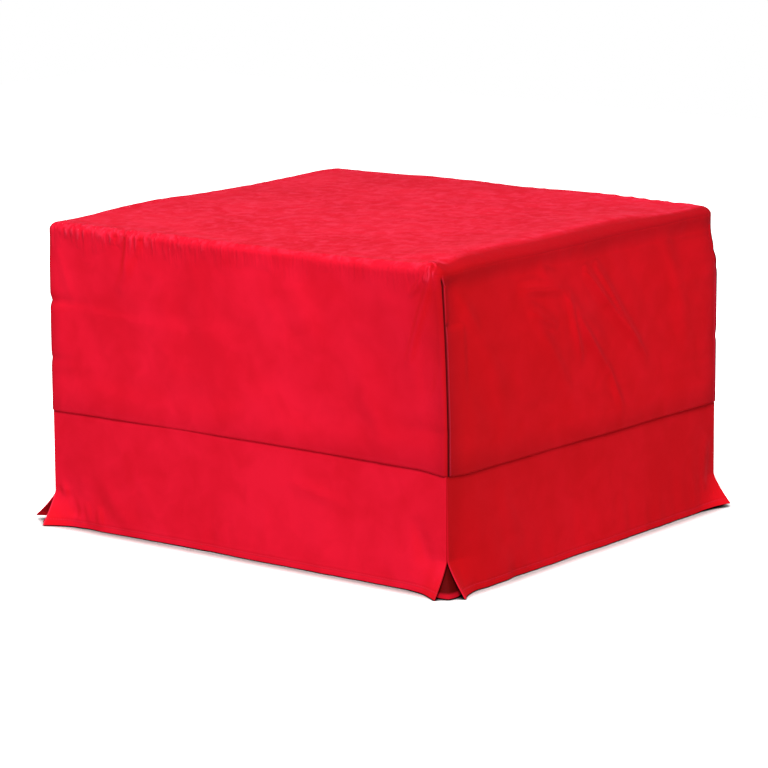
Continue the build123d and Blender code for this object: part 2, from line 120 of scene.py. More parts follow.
class FrameLook(bpy.types.PropertyGroup):
    paint: tone("Paint", "Powder coat of the tubes and plates", (0.165, 0.170, 0.180))
    birch_light: tone("Light birch", "Early wood of the slats", (0.72, 0.52, 0.31))
    birch_dark: tone("Dark birch", "Late wood of the slats", (0.52, 0.34, 0.18))
    plastic: tone("Plastic", "Slat holders and rail plugs", (0.022, 0.022, 0.024))
    rubber: tone("Rubber", "Leg sleeves", (0.014, 0.014, 0.014))
    zinc: tone("Zinc", "Pins and rivets", (0.62, 0.63, 0.64))


class BedSizes(bpy.types.PropertyGroup):
    voxel: length("Voxel", "Mesh size of the mattress blocks", 0.0065)
    shrink: length("Shrink", "How much smaller a block starts before it is filled", 0.004)
    swell: length("Swell", "The furthest that filling may move a point", 0.009)
    piping: length("Piping", "Radius of the piped seams of a block", 0.0022)
    strap_y: length("Strap place", "Middle of the bed to the middle of a strap", 0.235)
    strap_half: length("Strap half width", "Half the width of a strap", 0.018)
    strap_thick: length("Strap thickness", "Thickness of the webbing", 0.0010)


class StudioSizes(bpy.types.PropertyGroup):
    azimuth: angle("Azimuth", "Camera round the ottoman", 37.636)
    elevation: angle("Elevation", "Camera above the floor line", 11.592)
    roll: angle("Roll", "Camera about its own line of sight", -0.328)
    distance: length("Distance", "Camera to its target", 5.1177)
    lens: FloatProperty(name="Lens", description="Focal length in millimetres", default=170.85)
    target: FloatVectorProperty(
        name="Target", description="The point that the camera looks at",
        default=(0.0529, -0.0751, 0.2083), subtype="TRANSLATION",
    )
    key: FloatProperty(name="Key light", description="Power of the large soft light", default=594.0)
    sky: FloatProperty(name="Sky", description="Strength of the even light from all round", default=0.34)


def pick(*things):
    """Select these things only, the last one active."""
    for thing in bpy.context.selected_objects:
        thing.select_set(False)
    for thing in things:
        thing.select_set(True)
        bpy.context.view_layer.objects.active = thing


def smooth(t):
    t = min(max(t, 0.0), 1.0)
    return t * t * (3 - 2 * t)


def wave(x, y, seed):
    return noise.noise(Vector((x, y, seed)))


def bell(away, half):
    """1 in the middle, falling off to both sides."""
    return math.exp(-((away / half) ** 2))


def half_sizes(sizes, face):
    """Half the length of a face, and its distance from the middle of the ottoman."""
    halves = (sizes.half_width, sizes.half_depth)
    return halves if face in ("front", "back") else halves[::-1]


def arc_lengths(line):
    """How far along a line each of its flat points lies."""
    arc = [0.0]
    for a, b in zip(line, line[1:]):
        arc.append(arc[-1] + math.dist(a[:2], b[:2]))
    return arc


def near_line(point, start, end):
    """Distance of a flat point from a run, and how far along the run it lies."""
    run = (end[0] - start[0], end[1] - start[1])
    long = run[0] ** 2 + run[1] ** 2
    share = ((point[0] - start[0]) * run[0] + (point[1] - start[1]) * run[1]) / long
    share = min(max(share, 0.0), 1.0)
    away = (point[0] - start[0] - share * run[0], point[1] - start[1] - share * run[1])
    return math.hypot(*away), share


# Pulled folds of each face: start and end as (along, height), height of the ridge, its half width
FOLDS = {
    "front": (
        ((0.336, 0.422), (0.286, 0.300), 0.0038, 0.0052),
        ((0.326, 0.424), (0.300, 0.395), 0.0026, 0.0040),
        ((0.318, 0.330), (0.322, 0.190), -0.0026, 0.0130),
        ((0.346, 0.300), (0.306, 0.225), 0.0024, 0.0090),
        ((-0.338, 0.408), (-0.300, 0.320), 0.0014, 0.0080),
        ((-0.330, 0.318), (-0.080, 0.300), 0.0005, 0.0050),
        ((-0.060, 0.172), (0.070, 0.245), 0.0020, 0.0180),
        ((-0.180, 0.420), (-0.215, 0.345), 0.0030, 0.0100),
        ((-0.196, 0.420), (-0.202, 0.372), 0.0022, 0.0050),
        ((-0.110, 0.400), (-0.095, 0.250), -0.0028, 0.0260),
        ((0.090, 0.400), (0.150, 0.300), 0.0026, 0.0220),
        ((0.040, 0.330), (-0.040, 0.215), -0.0024, 0.0240),
        ((0.250, 0.180), (0.200, 0.300), 0.0024, 0.0200),
    ),
    "right": (
        ((-0.100, 0.405), (0.045, 0.280), 0.0020, 0.0095),
        ((0.000, 0.388), (0.127, 0.262), 0.0050, 0.0065),
        ((0.028, 0.392), (0.150, 0.236), 0.0036, 0.0060),
        ((-0.046, 0.356), (-0.012, 0.262), 0.0036, 0.0065),
        ((-0.022, 0.326), (0.052, 0.238), 0.0046, 0.0065),
        ((0.050, 0.246), (0.086, 0.180), 0.0030, 0.0060),
        ((-0.150, 0.385), (-0.060, 0.372), 0.0030, 0.0065),
        ((-0.130, 0.352), (-0.070, 0.322), 0.0030, 0.0065),
        ((-0.140, 0.370), (-0.030, 0.205), 0.0018, 0.0110),
        ((-0.290, 0.400), (-0.245, 0.340), 0.0022, 0.0100),
        ((-0.240, 0.330), (-0.180, 0.190), 0.0020, 0.0160),
        ((0.200, 0.405), (0.250, 0.250), 0.0024, 0.0160),
        ((-0.297, 0.400), (-0.297, 0.175), -0.0040, 0.0200),
    ),
    "back": (
        ((-0.300, 0.410), (-0.190, 0.280), 0.0026, 0.0120),
        ((0.120, 0.400), (0.020, 0.250), 0.0026, 0.0140),
        ((0.320, 0.410), (0.285, 0.300), 0.0024, 0.0090),
        ((-0.020, 0.360), (-0.120, 0.220), 0.0022, 0.0160),
    ),
    "left": (
        ((0.260, 0.400), (0.150, 0.260), 0.0026, 0.0120),
        ((-0.240, 0.410), (-0.170, 0.270), 0.0028, 0.0110),
        ((0.020, 0.330), (-0.060, 0.200), 0.0024, 0.0140),
    ),
}
# The same for the skirts, the height taken from the floor
SKIRT_FOLDS = {
    "front": (
        ((-0.336, 0.062), (-0.318, 0.034), 0.0030, 0.0060),
        ((-0.326, 0.048), (-0.300, 0.014), -0.0042, 0.0070),
        ((-0.286, 0.040), (-0.276, 0.006), 0.0022, 0.0050),
        ((-0.262, 0.036), (-0.256, 0.006), 0.0018, 0.0045),
        ((0.080, 0.120), (0.180, 0.100), 0.0016, 0.0080),
        ((0.296, 0.100), (0.322, 0.030), -0.0024, 0.0120),
    ),
    "right": (
        ((0.300, 0.110), (0.286, 0.030), 0.0024, 0.0120),
        ((-0.210, 0.130), (-0.170, 0.040), 0.0018, 0.0140),
    ),
    "back": (
        ((0.250, 0.110), (0.280, 0.030), 0.0024, 0.0120),
        ((-0.050, 0.120), (-0.090, 0.040), 0.0020, 0.0150),
    ),
    "left": (
        ((-0.180, 0.110), (-0.230, 0.030), 0.0022, 0.0130),
        ((0.120, 0.120), (0.150, 0.040), 0.0020, 0.0150),
    ),
}
# How strongly the front's top seam is gathered from its left end to its right one
GATHERED = ((-1.0, 1.10), (-0.74, 1.00), (-0.55, 1.60), (-0.42, 0.70), (0.1, 0.28), (0.75, 0.25), (1.0, 0.75))
# How strongly each face's top seam is gathered, and how far its top edge stands out over it
GATHERS = {"front": 1.0, "right": 0.25, "back": 0.8, "left": 0.3}
LIPS = {"front": 0.0004, "right": 0.0012, "back": 0.0006, "left": 0.0016}
# Where the layers inside press the corners in: corner signs, height, depth
NOTCHES = (
    ((-1, -1), 0.323, 0.0030), ((-1, -1), 0.240, 0.0014),
    ((1, 1), 0.374, 0.0016), ((1, 1), 0.351, 0.0014), ((1, 1), 0.250, 0.0014),
    ((-1, 1), 0.323, 0.0024), ((1, -1), 0.218, 0.0010),
)
# How far the four corners lean at the top, metres in x and y
LEANS = {
    (1, -1): (-0.0096, -0.0024), (1, 1): (-0.0082, -0.0040),
    (-1, -1): (0.0014, -0.0004), (-1, 1): (0.0012, 0.0016),
}
# Extra height of the top at its four corners
LIFTS = {(1, -1): 0.0022, (1, 1): 0.0002, (-1, -1): -0.0004, (-1, 1): 0.0008}
# Height of the seam along each face, from its start to its end: the loose cover sits a little askew
SEAMS = {
    "front": ((-1.0, 0.1635), (-0.7, 0.1650), (0.2, 0.1665), (0.85, 0.1655), (1.0, 0.1610)),
    "right": ((-1.0, 0.1610), (-0.86, 0.1572), (-0.3, 0.1555), (0.5, 0.1530), (1.0, 0.1515)),
    "back": ((-1.0, 0.1515), (-0.5, 0.1560), (0.4, 0.1590), (1.0, 0.1575)),
    "left": ((-1.0, 0.1575), (-0.3, 0.1590), (0.5, 0.1625), (1.0, 0.1635)),
}


def corner_mix(sizes, x, y, table):
    """Value at a place between four corner values."""
    u = min(max(x / sizes.half_width, -1), 1) * 0.5 + 0.5
    v = min(max(y / sizes.half_depth, -1), 1) * 0.5 + 0.5
    low = np.array(table[(-1, -1)]) * (1 - u) + np.array(table[(1, -1)]) * u
    high = np.array(table[(-1, 1)]) * (1 - u) + np.array(table[(1, 1)]) * u
    return low * (1 - v) + high * v


def eased(table, share):
    """Smooth value between the stops of a table."""
    for (a, low), (b, high) in zip(table, table[1:]):
        if share <= b:
            return low + (high - low) * smooth((share - a) / (b - a))
    return table[-1][1]


def seam_height(sizes, x, y):
    """Height of the skirt's seam at a place of the outline."""
    if abs(x) / sizes.half_width > abs(y) / sizes.half_depth:
        face, share = ("right", y / sizes.half_depth) if x > 0 else ("left", -y / sizes.half_depth)
    else:
        face, share = ("front", x / sizes.half_width) if y < 0 else ("back", -x / sizes.half_width)
    return eased(SEAMS[face], share)


def lean(sizes, x, y, z):
    """The cover's small sideways shift towards the top, and the dents at its corners."""
    held = smooth((y - 0.20) / 0.06)
    free_lift = min(max((z - 0.20) / 0.23, 0.0), 1.0) ** 1.6
    lift = free_lift * (1 - held) + smooth((z - 0.346) / 0.064) * held
    dx, dy = (float(v) * lift for v in corner_mix(sizes, x, y, LEANS))
    for (sx, sy), height, depth in NOTCHES:
        away2 = (x - sx * sizes.half_width) ** 2 + (y - sy * sizes.half_depth) ** 2
        dent = depth * math.exp(-away2 / (2 * 0.030 ** 2)) * bell(z - height, 0.0055)
        dx -= sx * 0.40 * dent
        dy -= sy * dent
    return dx, dy


def room(sizes, face, along, z):
    """How far a face may be pushed in before it meets the frame behind it."""
    if face in ("front", "back"):
        return 0.0026 + 0.0050 * smooth((sizes.half_width - 0.025 - abs(along)) / 0.03)
    hinge = smooth((abs(along) - 0.262) / 0.02)
    hinge *= smooth((0.362 - z) / 0.012) * smooth((z - 0.185) / 0.01)
    return 0.0060 - 0.0050 * hinge


def folds_at(folds, along, z, lead=0.12):
    """Height of a face's folds at a place. lead is how strongly each one already starts."""
    out = 0.0
    for start, end, rise, half in folds:
        away, share = near_line((along, z), start, end)
        if away < 3 * half:
            swell = math.sin(math.pi * (lead + (1 - lead) * share)) ** 0.7
            out += rise * bell(away, half) * swell
    return out


def face_rumple(sizes, face, along, z):
    """How far a face stands out at a place: broad waves, pressed layers, folds and gathers."""
    seed = 3.1 + 7.7 * list(FACES).index(face)
    out = sizes.rumple * wave(along * 5.0, z * 6.5, seed)
    out += 0.50 * sizes.rumple * wave(along * 13.0 + z * 5.0, z * 9.0, seed + 1)
    out += 0.15 * sizes.rumple * wave(along * 34.0 + z * 20.0, z * 18.0, seed + 2)
    for level in FOLD_LEVELS:
        drift = 0.004 * wave(along * 7.0, 0.0, seed + 3)
        press = 0.0006 * (0.7 + 0.8 * wave(along * 5.0, 1.0, seed + 4))
        out -= press * bell(z - level - drift, 0.012)
    out += folds_at(FOLDS[face], along, z)
    drop = (sizes.top - 0.0090) - z
    out += LIPS[face] * (bell(drop, 0.010) - 0.7 * bell(drop - 0.026, 0.014))
    reach = 0.011 + 0.012 * (0.5 + wave(along * 17.0, 2.0, seed + 5))
    if abs(drop) < 4 * reach:
        crease = 1 - 3.2 * abs(wave(along * 40.0 + 0.3 * wave(along * 9.0, z * 40.0, seed), 0.0, seed + 6))
        strength = 0.40 + 0.90 * (0.5 + wave(along * 6.0, 3.0, seed + 7))
        strength *= eased(GATHERED, along / sizes.half_width) if face == "front" else 1.0
        out += GATHERS[face] * sizes.pucker * strength * crease * bell(drop, reach)
    share = along / half_sizes(sizes, face)[0]
    out *= 0.35 + 0.65 * smooth((z - eased(SEAMS[face], share)) / 0.035)
    limit = room(sizes, face, along, z)
    return out if out > 0 else -limit * math.tanh(-out / limit)


def edge_fade(sizes, face, along):
    """0 at the ends of a face and 1 away from them."""
    return smooth((half_sizes(sizes, face)[0] - abs(along)) / 0.022)


# Waves of the top: height, how many in a metre, seed
SAGS = ((0.0013, 4.2, 21.0), (0.0006, 11.0, 22.0), (0.00025, 34.0, 23.0))
# Mounds of the top: height, place, and how far each reaches in x and y
MOUNDS = ((0.0024, -0.350, -0.10, 0.12, 0.12), (0.0042, 0.05, 0.3275, 0.20, 0.14))
# The raised roll along the right edge: height, place in x, how far it reaches inwards and outwards
ROLL_RISE, ROLL_X, ROLL_INWARD, ROLL_OUTWARD = 0.0085, 0.322, 0.075, 0.021


def top_height(sizes, x, y):
    """Height of the top panel: crown, sags, mounds, the rolled right edge and the near corner's knot."""
    u = min(abs(x) / sizes.half_width, 1.0)
    v = min(abs(y) / sizes.half_depth, 1.0)
    arch = (1 - u ** 2.6) * (1 - v ** 2.6)
    lift = (u * v) ** 6 * float(corner_mix(sizes, x, y, LIFTS))
    sag = sum(rise * wave(x * often, y * often, seed) for rise, often, seed in SAGS)
    bump = 0.0
    for rise, place_x, place_y, reach_x, reach_y in MOUNDS:
        bump += rise * math.exp(-(((x - place_x) / reach_x) ** 2 + ((y - place_y) / reach_y) ** 2))
    roll = smooth((y + 0.325) / 0.07) * (1 - smooth((y - 0.08) / 0.22))
    roll *= 1 + 0.14 * wave(y * 9.0, 0.0, 24.0)
    bump += ROLL_RISE * roll * bell(x - ROLL_X, ROLL_INWARD if x < ROLL_X else ROLL_OUTWARD)
    knot_x, knot_y = x - sizes.half_width + 0.020, y + sizes.half_depth - 0.011
    away = math.hypot(knot_x, knot_y)
    pleats = 0.0016 * math.cos(6 * math.atan2(knot_y, knot_x) + 0.6) * min(away / 0.006, 1)
    bump += bell(away, 0.015) * (0.0032 + pleats)
    bump -= 0.0018 * bell(y + 0.298, 0.020) * smooth((x - 0.318) / 0.03)
    return sizes.top - sizes.crown * (1 - arch) + lift + sag + bump


def rounded(half_x, half_y, radius, x, y):
    """A point of the sharp outline moved onto the outline with rounded corners."""
    inner_x, inner_y = half_x - radius, half_y - radius
    qx = min(max(x, -inner_x), inner_x)
    qy = min(max(y, -inner_y), inner_y)
    dx, dy = x - qx, y - qy
    size = math.hypot(dx, dy)
    if size < 1e-9:
        return x, y
    return qx + dx / size * radius, qy + dy / size * radius


# Rings of the top's falling edge, how far it turns down to the gathered seam, its cloth step
RINGS = 8
SHOULDER = math.radians(62)
TOP_STEP = 0.0036


class TopGrid:
    """Lines of the top's mesh between its falling edges, which the sides go on from."""

    def __init__(self, sizes):
        self.sizes = sizes
        self.flat_x = sizes.half_width - sizes.edge_x
        self.flat_y = sizes.half_depth - sizes.edge_y
        self.across = np.linspace(-self.flat_x, self.flat_x, sizes.lines + 1)
        count = round(sizes.lines * self.flat_y / self.flat_x) + 1
        self.along = np.linspace(-self.flat_y, self.flat_y, count)
        self.last_i = len(self.across) - 1 + 2 * RINGS
        self.last_j = len(self.along) - 1 + 2 * RINGS

    def halves(self, turn):
        """Half the size of the outline where the edge has turned down this far."""
        fall = math.sin(turn)
        return self.flat_x + self.sizes.edge_x * fall, self.flat_y + self.sizes.edge_y * fall

    def loop(self):
        """The outermost ring as (i, j) in four runs, from the front left corner round."""
        front = [(i, 0) for i in range(self.last_i)]
        right = [(self.last_i, j) for j in range(self.last_j)]
        back = [(i, self.last_j) for i in range(self.last_i, 0, -1)]
        left = [(0, j) for j in range(self.last_j, 0, -1)]
        return front, right, back, left


def spread(index, ring, inner, lines, far):
    """Place of a mesh line: inside on its own place, past it shared out to the ring's outline."""
    last = len(lines) - 1 + 2 * RINGS
    if index < RINGS:
        return -(inner + (far - inner) * (RINGS - index) / (RINGS - ring))
    if index > last - RINGS:
        return inner + (far - inner) * (index - last + RINGS) / (RINGS - ring)
    return float(lines[index - RINGS])


def top_point(sizes, grid, i, j):
    """A point of the top panel, turned down ring by ring at its edges."""
    ring = min(i, j, grid.last_i - i, grid.last_j - j, RINGS)
    turn = SHOULDER * (RINGS - ring) / RINGS
    if ring < RINGS:
        half_x, half_y = grid.halves(turn)
        x = spread(i, ring, grid.flat_x, grid.across, half_x)
        y = spread(j, ring, grid.flat_y, grid.along, half_y)
        if j in (ring, grid.last_j - ring):
            y = -half_y if j == ring else half_y
        if i in (ring, grid.last_i - ring):
            x = -half_x if i == ring else half_x
        radius = sizes.corner * math.sin(turn) / math.sin(SHOULDER)
        x, y = rounded(half_x, half_y, radius, x, y)
    else:
        x, y = float(grid.across[i - RINGS]), float(grid.along[j - RINGS])
    z = top_height(sizes, x, y) - sizes.edge_z * (1 - math.cos(turn))
    return place_wall(sizes, x, y, z, math.sin(turn) ** 2)


def faces_at(sizes, x, y):
    """The faces that a point of the outline belongs to, with the place along each."""
    found = []
    if abs(y) > sizes.half_depth - 0.035:
        face = "front" if y < 0 else "back"
        found.append((face, x * FACES[face][0][0]))
    if abs(x) > sizes.half_width - 0.045:
        face = "right" if x > 0 else "left"
        found.append((face, y * FACES[face][0][1]))
    return found


def place_wall(sizes, x, y, z, strength):
    """A point of the upper cover with its waves, folds and lean added."""
    px, py, pz = x, y, z
    for face, along in faces_at(sizes, x, y):
        out = FACES[face][1]
        push = face_rumple(sizes, face, along, z) * edge_fade(sizes, face, along)
        reach = half_sizes(sizes, face)[1] - abs(x * out[0] + y * out[1])
        hold = smooth(1 - reach / 0.034)
        px += out[0] * push * strength * hold
        py += out[1] * push * strength * hold
        pz += push * (1 - strength) * hold
    dx, dy = lean(sizes, x, y, z)
    return px + dx, py + dy, pz


def mesh_sheet(name, rows, uv_rows):
    """A sheet from rows of points, each with its place on the cloth in metres."""
    tall, wide = len(rows), len(rows[0])
    pick()
    bpy.ops.mesh.primitive_grid_add(x_subdivisions=wide - 1, y_subdivisions=tall - 1, size=1.0)
    sheet = bpy.context.object
    sheet.name = name
    sheet.data.name = name
    points = np.array(rows, dtype=np.float32).reshape(-1, 3)
    sheet.data.vertices.foreach_set("co", points.ravel())
    places = np.array(uv_rows, dtype=np.float32).reshape(-1, 2)
    corners = np.zeros(len(sheet.data.loops), dtype=np.int32)
    sheet.data.loops.foreach_get("vertex_index", corners)
    layer = sheet.data.uv_layers.active or sheet.data.uv_layers.new(name="Cloth")
    layer.name = "Cloth"
    layer.data.foreach_set("uv", places[corners].ravel())
    sheet.data.update()
    return sheet


def give_thickness(sheet, thick):
    """Thicken a sheet inwards from its outer side."""
    pick(sheet)
    solid = sheet.modifiers.new("Cloth thickness", "SOLIDIFY")
    solid.thickness = thick
    solid.offset = -1.0
    solid.use_even_offset = False
    bpy.ops.object.modifier_apply(modifier=solid.name)
    bpy.ops.object.shade_smooth_by_angle(angle=SHEET_CREASE)


def dress(piece, finish, slot, body, *nodes):
    """Give a piece its material, the CAD nodes that it replaces and its body; its slot is not used."""
    piece.data.materials.clear()
    piece.data.materials.append(finish)
    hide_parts(*nodes)
    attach(piece, body)


def sheet_area(sheet):
    return sum(face.area for face in sheet.data.polygons)


def sew(sheet, thick, finish, slot, node_name, width):
    """Finish a sheet of the cover: thickness, looks and body; its flat size is worked out but not kept."""
    area = sheet_area(sheet)
    give_thickness(sheet, thick)
    dress(sheet, finish, slot, "slipcover", node_name)
    area / width


class GUESTBED_OT_cover_top(bpy.types.Operator):
    """Top panel of the slipcover, over its rounded edges to the gathered seam"""

    bl_idname = "guestbed.cover_top"
    bl_label = "Cover top"

    def execute(self, context):
        sizes = context.scene.slipcover
        grid = TopGrid(sizes)
        rows, places = [], []
        for j in range(grid.last_j + 1):
            rows.append([top_point(sizes, grid, i, j) for i in range(grid.last_i + 1)])
            places.append([(i * TOP_STEP, j * TOP_STEP) for i in range(grid.last_i + 1)])
        panel = mesh_sheet("cover_top_panel", rows, places)
        nap = material("cover_nap", build_slipcover_cloth)
        sew(panel, sizes.cloth, nap, "slipcover_cloth", "cover_top", 0.70)
        return {"FINISHED"}


# The line of the side panels, from their corner, that lies at the bottom of the seam's groove
GROOVE = 3
# How far down the side panels their evenly stepped lines go, before the last one over the seam
WALL_RUN = 0.235


def groove_place(share, far, z):
    """Places along a side face near its corner, with the lines gathered at the corner seam."""
    groove = 0.0046 + 0.0016 * smooth((z - 0.20) / 0.22)
    width = 0.0017
    stops = (0.0, groove * 0.45, groove - width, groove, groove + width, groove + 3.0 * width)
    if share < len(stops):
        return stops[share]
    rest = (share - len(stops) + 1) / (RINGS - len(stops) + 1)
    return stops[-1] + (far - stops[-1]) * rest


def wall_levels(sizes):
    """Turns of the falling edge, then the share of the way down from its foot to the seam."""
    whole = sizes.top - sizes.edge_z - SEAM_LEVEL
    levels = [(turn, 0.0) for turn in (SHOULDER, *(math.radians(t) for t in (71, 80, 90)))]
    drop, step = 0.0, 0.0026
    while drop < WALL_RUN:
        drop += step
        levels.append((math.pi / 2, drop / whole))
        if drop > 0.026:
            step = min(step + 0.0006, 0.0050)
    levels.append((math.pi / 2, 1 - 0.0024 / whole))
    return levels


def wall_point(sizes, grid, spot, turn, drop_share):
    """A point of the four upright panels. drop_share runs from the edge's foot to the seam."""
    i, j = spot
    half_x, half_y = grid.halves(turn)
    x = spread(i, 0, grid.flat_x, grid.across, half_x)
    y = spread(j, 0, grid.flat_y, grid.along, half_y)
    edge_x, edge_y = rounded(half_x, half_y, sizes.corner, x, y)
    foot = top_height(sizes, edge_x, edge_y) - sizes.edge_z * (1 - math.cos(turn))
    seam = seam_height(sizes, edge_x, edge_y)
    z = foot + (seam - foot) * drop_share
    below = smooth((sizes.top - 0.012 - z) / 0.012) if drop_share > 0 else 0.0
    inset = 0.0
    if i in (0, grid.last_i) and below > 0:
        near = min(j, grid.last_j - j)
        if near < RINGS:
            even = (half_y - grid.flat_y) * near / RINGS
            placed = groove_place(near, half_y - grid.flat_y, z)
            distance = even + (placed - even) * below
            y = math.copysign(half_y - distance, y)
        depth = (0.0052 if y < 0 else 0.0036) * (0.55 + 0.45 * smooth((z - 0.16) / 0.20))
        if near == GROOVE:
            inset = depth * below
        elif near == GROOVE - 1:
            inset = 0.0002 * below
        elif near > GROOVE:
            inset = 0.0012 * below * math.exp(-(near - GROOVE) / 5.0)
            inset *= min((near - GROOVE - 0.6) / 3, 1)
    radius = sizes.corner + (sizes.corner_low - sizes.corner) * smooth((sizes.top - 0.02 - z) / 0.05)
    x, y = rounded(half_x, half_y, radius, x, y)
    x -= math.copysign(inset, x)
    return place_wall(sizes, x, y, z, math.sin(turn) ** 2 if turn < math.pi / 2 else 1.0)


class GUESTBED_OT_cover_sides(bpy.types.Operator):
    """Four upright panels of the slipcover: front and back wrap round the corners to the seams"""

    bl_idname = "guestbed.cover_sides"
    bl_label = "Cover sides"

    def execute(self, context):
        sizes = context.scene.slipcover
        grid = TopGrid(sizes)
        runs = grid.loop()
        loop = [spot for run in runs for spot in run]
        columns = self.columns(sizes, grid, loop)
        nap = material("cover_nap", build_slipcover_cloth)
        start = 0
        for face, run in zip(FACES, runs):
            grow, width = (GROOVE, 0.71) if face in ("front", "back") else (-GROOVE, 0.65)
            stop = start + len(run)
            numbers = [k % len(loop) for k in range(start - grow, stop + grow + 1)]
            start = stop
            way, _ = FACES[face]
            tall = len(columns[0])
            rows, places = [], []
            for level in reversed(range(tall)):
                rows.append([columns[k][level] for k in numbers])
                places.append([(x * way[0] + y * way[1] + 0.40, z + 0.1) for x, y, z in rows[-1]])
            panel = mesh_sheet(f"cover_{face}_panel", rows, places)
            self.mark_seams(panel, face, tall, len(numbers), sizes)
            node_name = f"cover_side_{face}"
            sew(panel, sizes.cloth, nap, "slipcover_cloth", node_name, width)
        return {"FINISHED"}

    def columns(self, sizes, grid, loop):
        """Points of the upright panels under each point of the top's outline, and their turned hem."""
        levels = wall_levels(sizes)
        columns = []
        for spot in loop:
            column = [wall_point(sizes, grid, spot, turn, share) for turn, share in levels]
            x, y, z = column[-1]
            way_x = math.copysign(1, x) if abs(x) > sizes.half_width - 0.012 else 0
            way_y = math.copysign(1, y) if abs(y) > sizes.half_depth - 0.012 else 0
            norm = math.hypot(way_x, way_y) or 1
            for inward, fall in ((0.0007, 0.0016), (0.0020, 0.0024), (0.0032, 0.0016)):
                column.append((x - way_x / norm * inward, y - way_y / norm * inward, z - fall))
            columns.append(column)
        return columns

    def mark_seams(self, panel, face, tall, wide, sizes):
        """Mark where the cloth's material paints the upright seams' crease in shade, a highlight on the
        narrow welt beside it, and shade either side.
        """
        names = ("crease_mark", "welt_mark", "shade_mark")
        crease, welt, shade = (panel.data.attributes.new(name, "FLOAT", "POINT") for name in names)
        for row in range(tall):
            z = panel.data.vertices[row * wide + wide // 2].co.z
            top = smooth((sizes.top - 0.008 - z) / 0.012)
            for end, step in ((row * wide, 1), (row * wide + wide - 1, -1)):
                crease.data[end].value = top
                crease.data[end + step].value = 0.62 * top
                if face in ("left", "right"):
                    welt.data[end + 2 * step].value = 0.8 * top
                for near in range(14):
                    shade.data[end + step * near].value = top * (1 - near / 14) ** 1.3


def skirt_levels(sizes):
    """Heights of the skirt's mesh, from the hem up to behind the seam."""
    heights = [0.0]
    step = 0.0022
    while heights[-1] < SEAM_LEVEL - sizes.hem + sizes.tuck - 0.004:
        heights.append(heights[-1] + step)
        if heights[-1] > 0.050:
            step = min(step + 0.0006, 0.0052)
    heights[-1] = SEAM_LEVEL - sizes.hem + sizes.tuck
    return heights


# Distance of the mesh's last lines from a skirt's end
END_STEPS = (0.0, 0.0010, 0.0024, 0.0045, 0.0070, 0.0100)
# A number for each skirt, so that no two hang in the same waves
SKIRT_WAYS = {"front": 0.0, "right": 4.0, "back": 9.0, "left": 14.0}
# Skirt corners that curl up as well as out: face and end, rise of the hem there
TAILS = {("left", 1): 0.0040, ("right", 1): 0.0045, ("back", 1): 0.0050, ("left", -1): 0.0030}
# Corners that curl out further than the rest
FLARES = {("left", 1): 1.42, ("right", 1): 1.04}
# How far each skirt stands out at its hem
SWINGS = {"front": 0.0045, "right": 0.0145, "back": 0.0060, "left": 0.0080}


def flare_push(sizes, near, height):
    """How far a skirt's lower corner curls out, near its end and low down."""
    curl = max(1 - near / sizes.flare_reach, 0.0) ** 1.6
    return sizes.flare_out * curl * max(1 - height / sizes.flare_rise, 0.0) ** 1.25


def skirt_point(sizes, face, along, share, run, offset):
    """A point of a skirt. share runs from the hem, 0, to the top behind the seam, 1."""
    way, out = FACES[face]
    seed = 31.0 + SKIRT_WAYS[face]
    x, y = way[0] * along + out[0] * offset, way[1] * along + out[1] * offset
    seam = seam_height(sizes, x, y)
    hem = sizes.hem + 0.0007 * wave(along * 6.0, 0.0, seed) + 0.0003 * wave(along * 30.0, 1.0, seed)
    top = seam + sizes.tuck
    z = hem + (top - hem) * share
    height = z - hem
    free = 1 - smooth(height / (seam - hem))
    hang = 0.0006 * wave(along * 6.0, height * 5.0, seed + 1)
    hang += (0.0004 + 0.0026 * free) * wave(along * 10.5, height * 3.0, seed + 2)
    hang += 0.0013 * free * free * wave(along * 46.0, height * 10.0, seed + 3)
    ruffle = wave(along * 30.0 + height * 14.0, height * 16.0, seed + 4)
    hang += 0.0022 * free * smooth((0.12 - abs(along + 0.24)) / 0.08) * ruffle
    near = max(run - abs(along), 0.0)
    hang *= smooth((near + 0.006) / 0.03)
    hang += folds_at(SKIRT_FOLDS[face], along, z, 0.0) * smooth(near / 0.008)
    swing = SWINGS[face] * max(1 - height / (seam - hem), 0.0) ** 1.25
    hang += swing * (0.15 + 0.85 * smooth(near / 0.07))
    hang *= smooth((seam - z + 0.001) / 0.010)
    hang = max(hang, -0.0012)
    end = (face, 1 if along > 0 else -1)
    push = hang + flare_push(sizes, near, height) * FLARES.get(end, 1.0)
    dx, dy = lean(sizes, x, y, max(z, 0.10))
    rise = TAILS.get(end, 0.0) * flare_push(sizes, near, height) / sizes.flare_out
    return x + out[0] * push + dx, y + out[1] * push + dy, z + rise


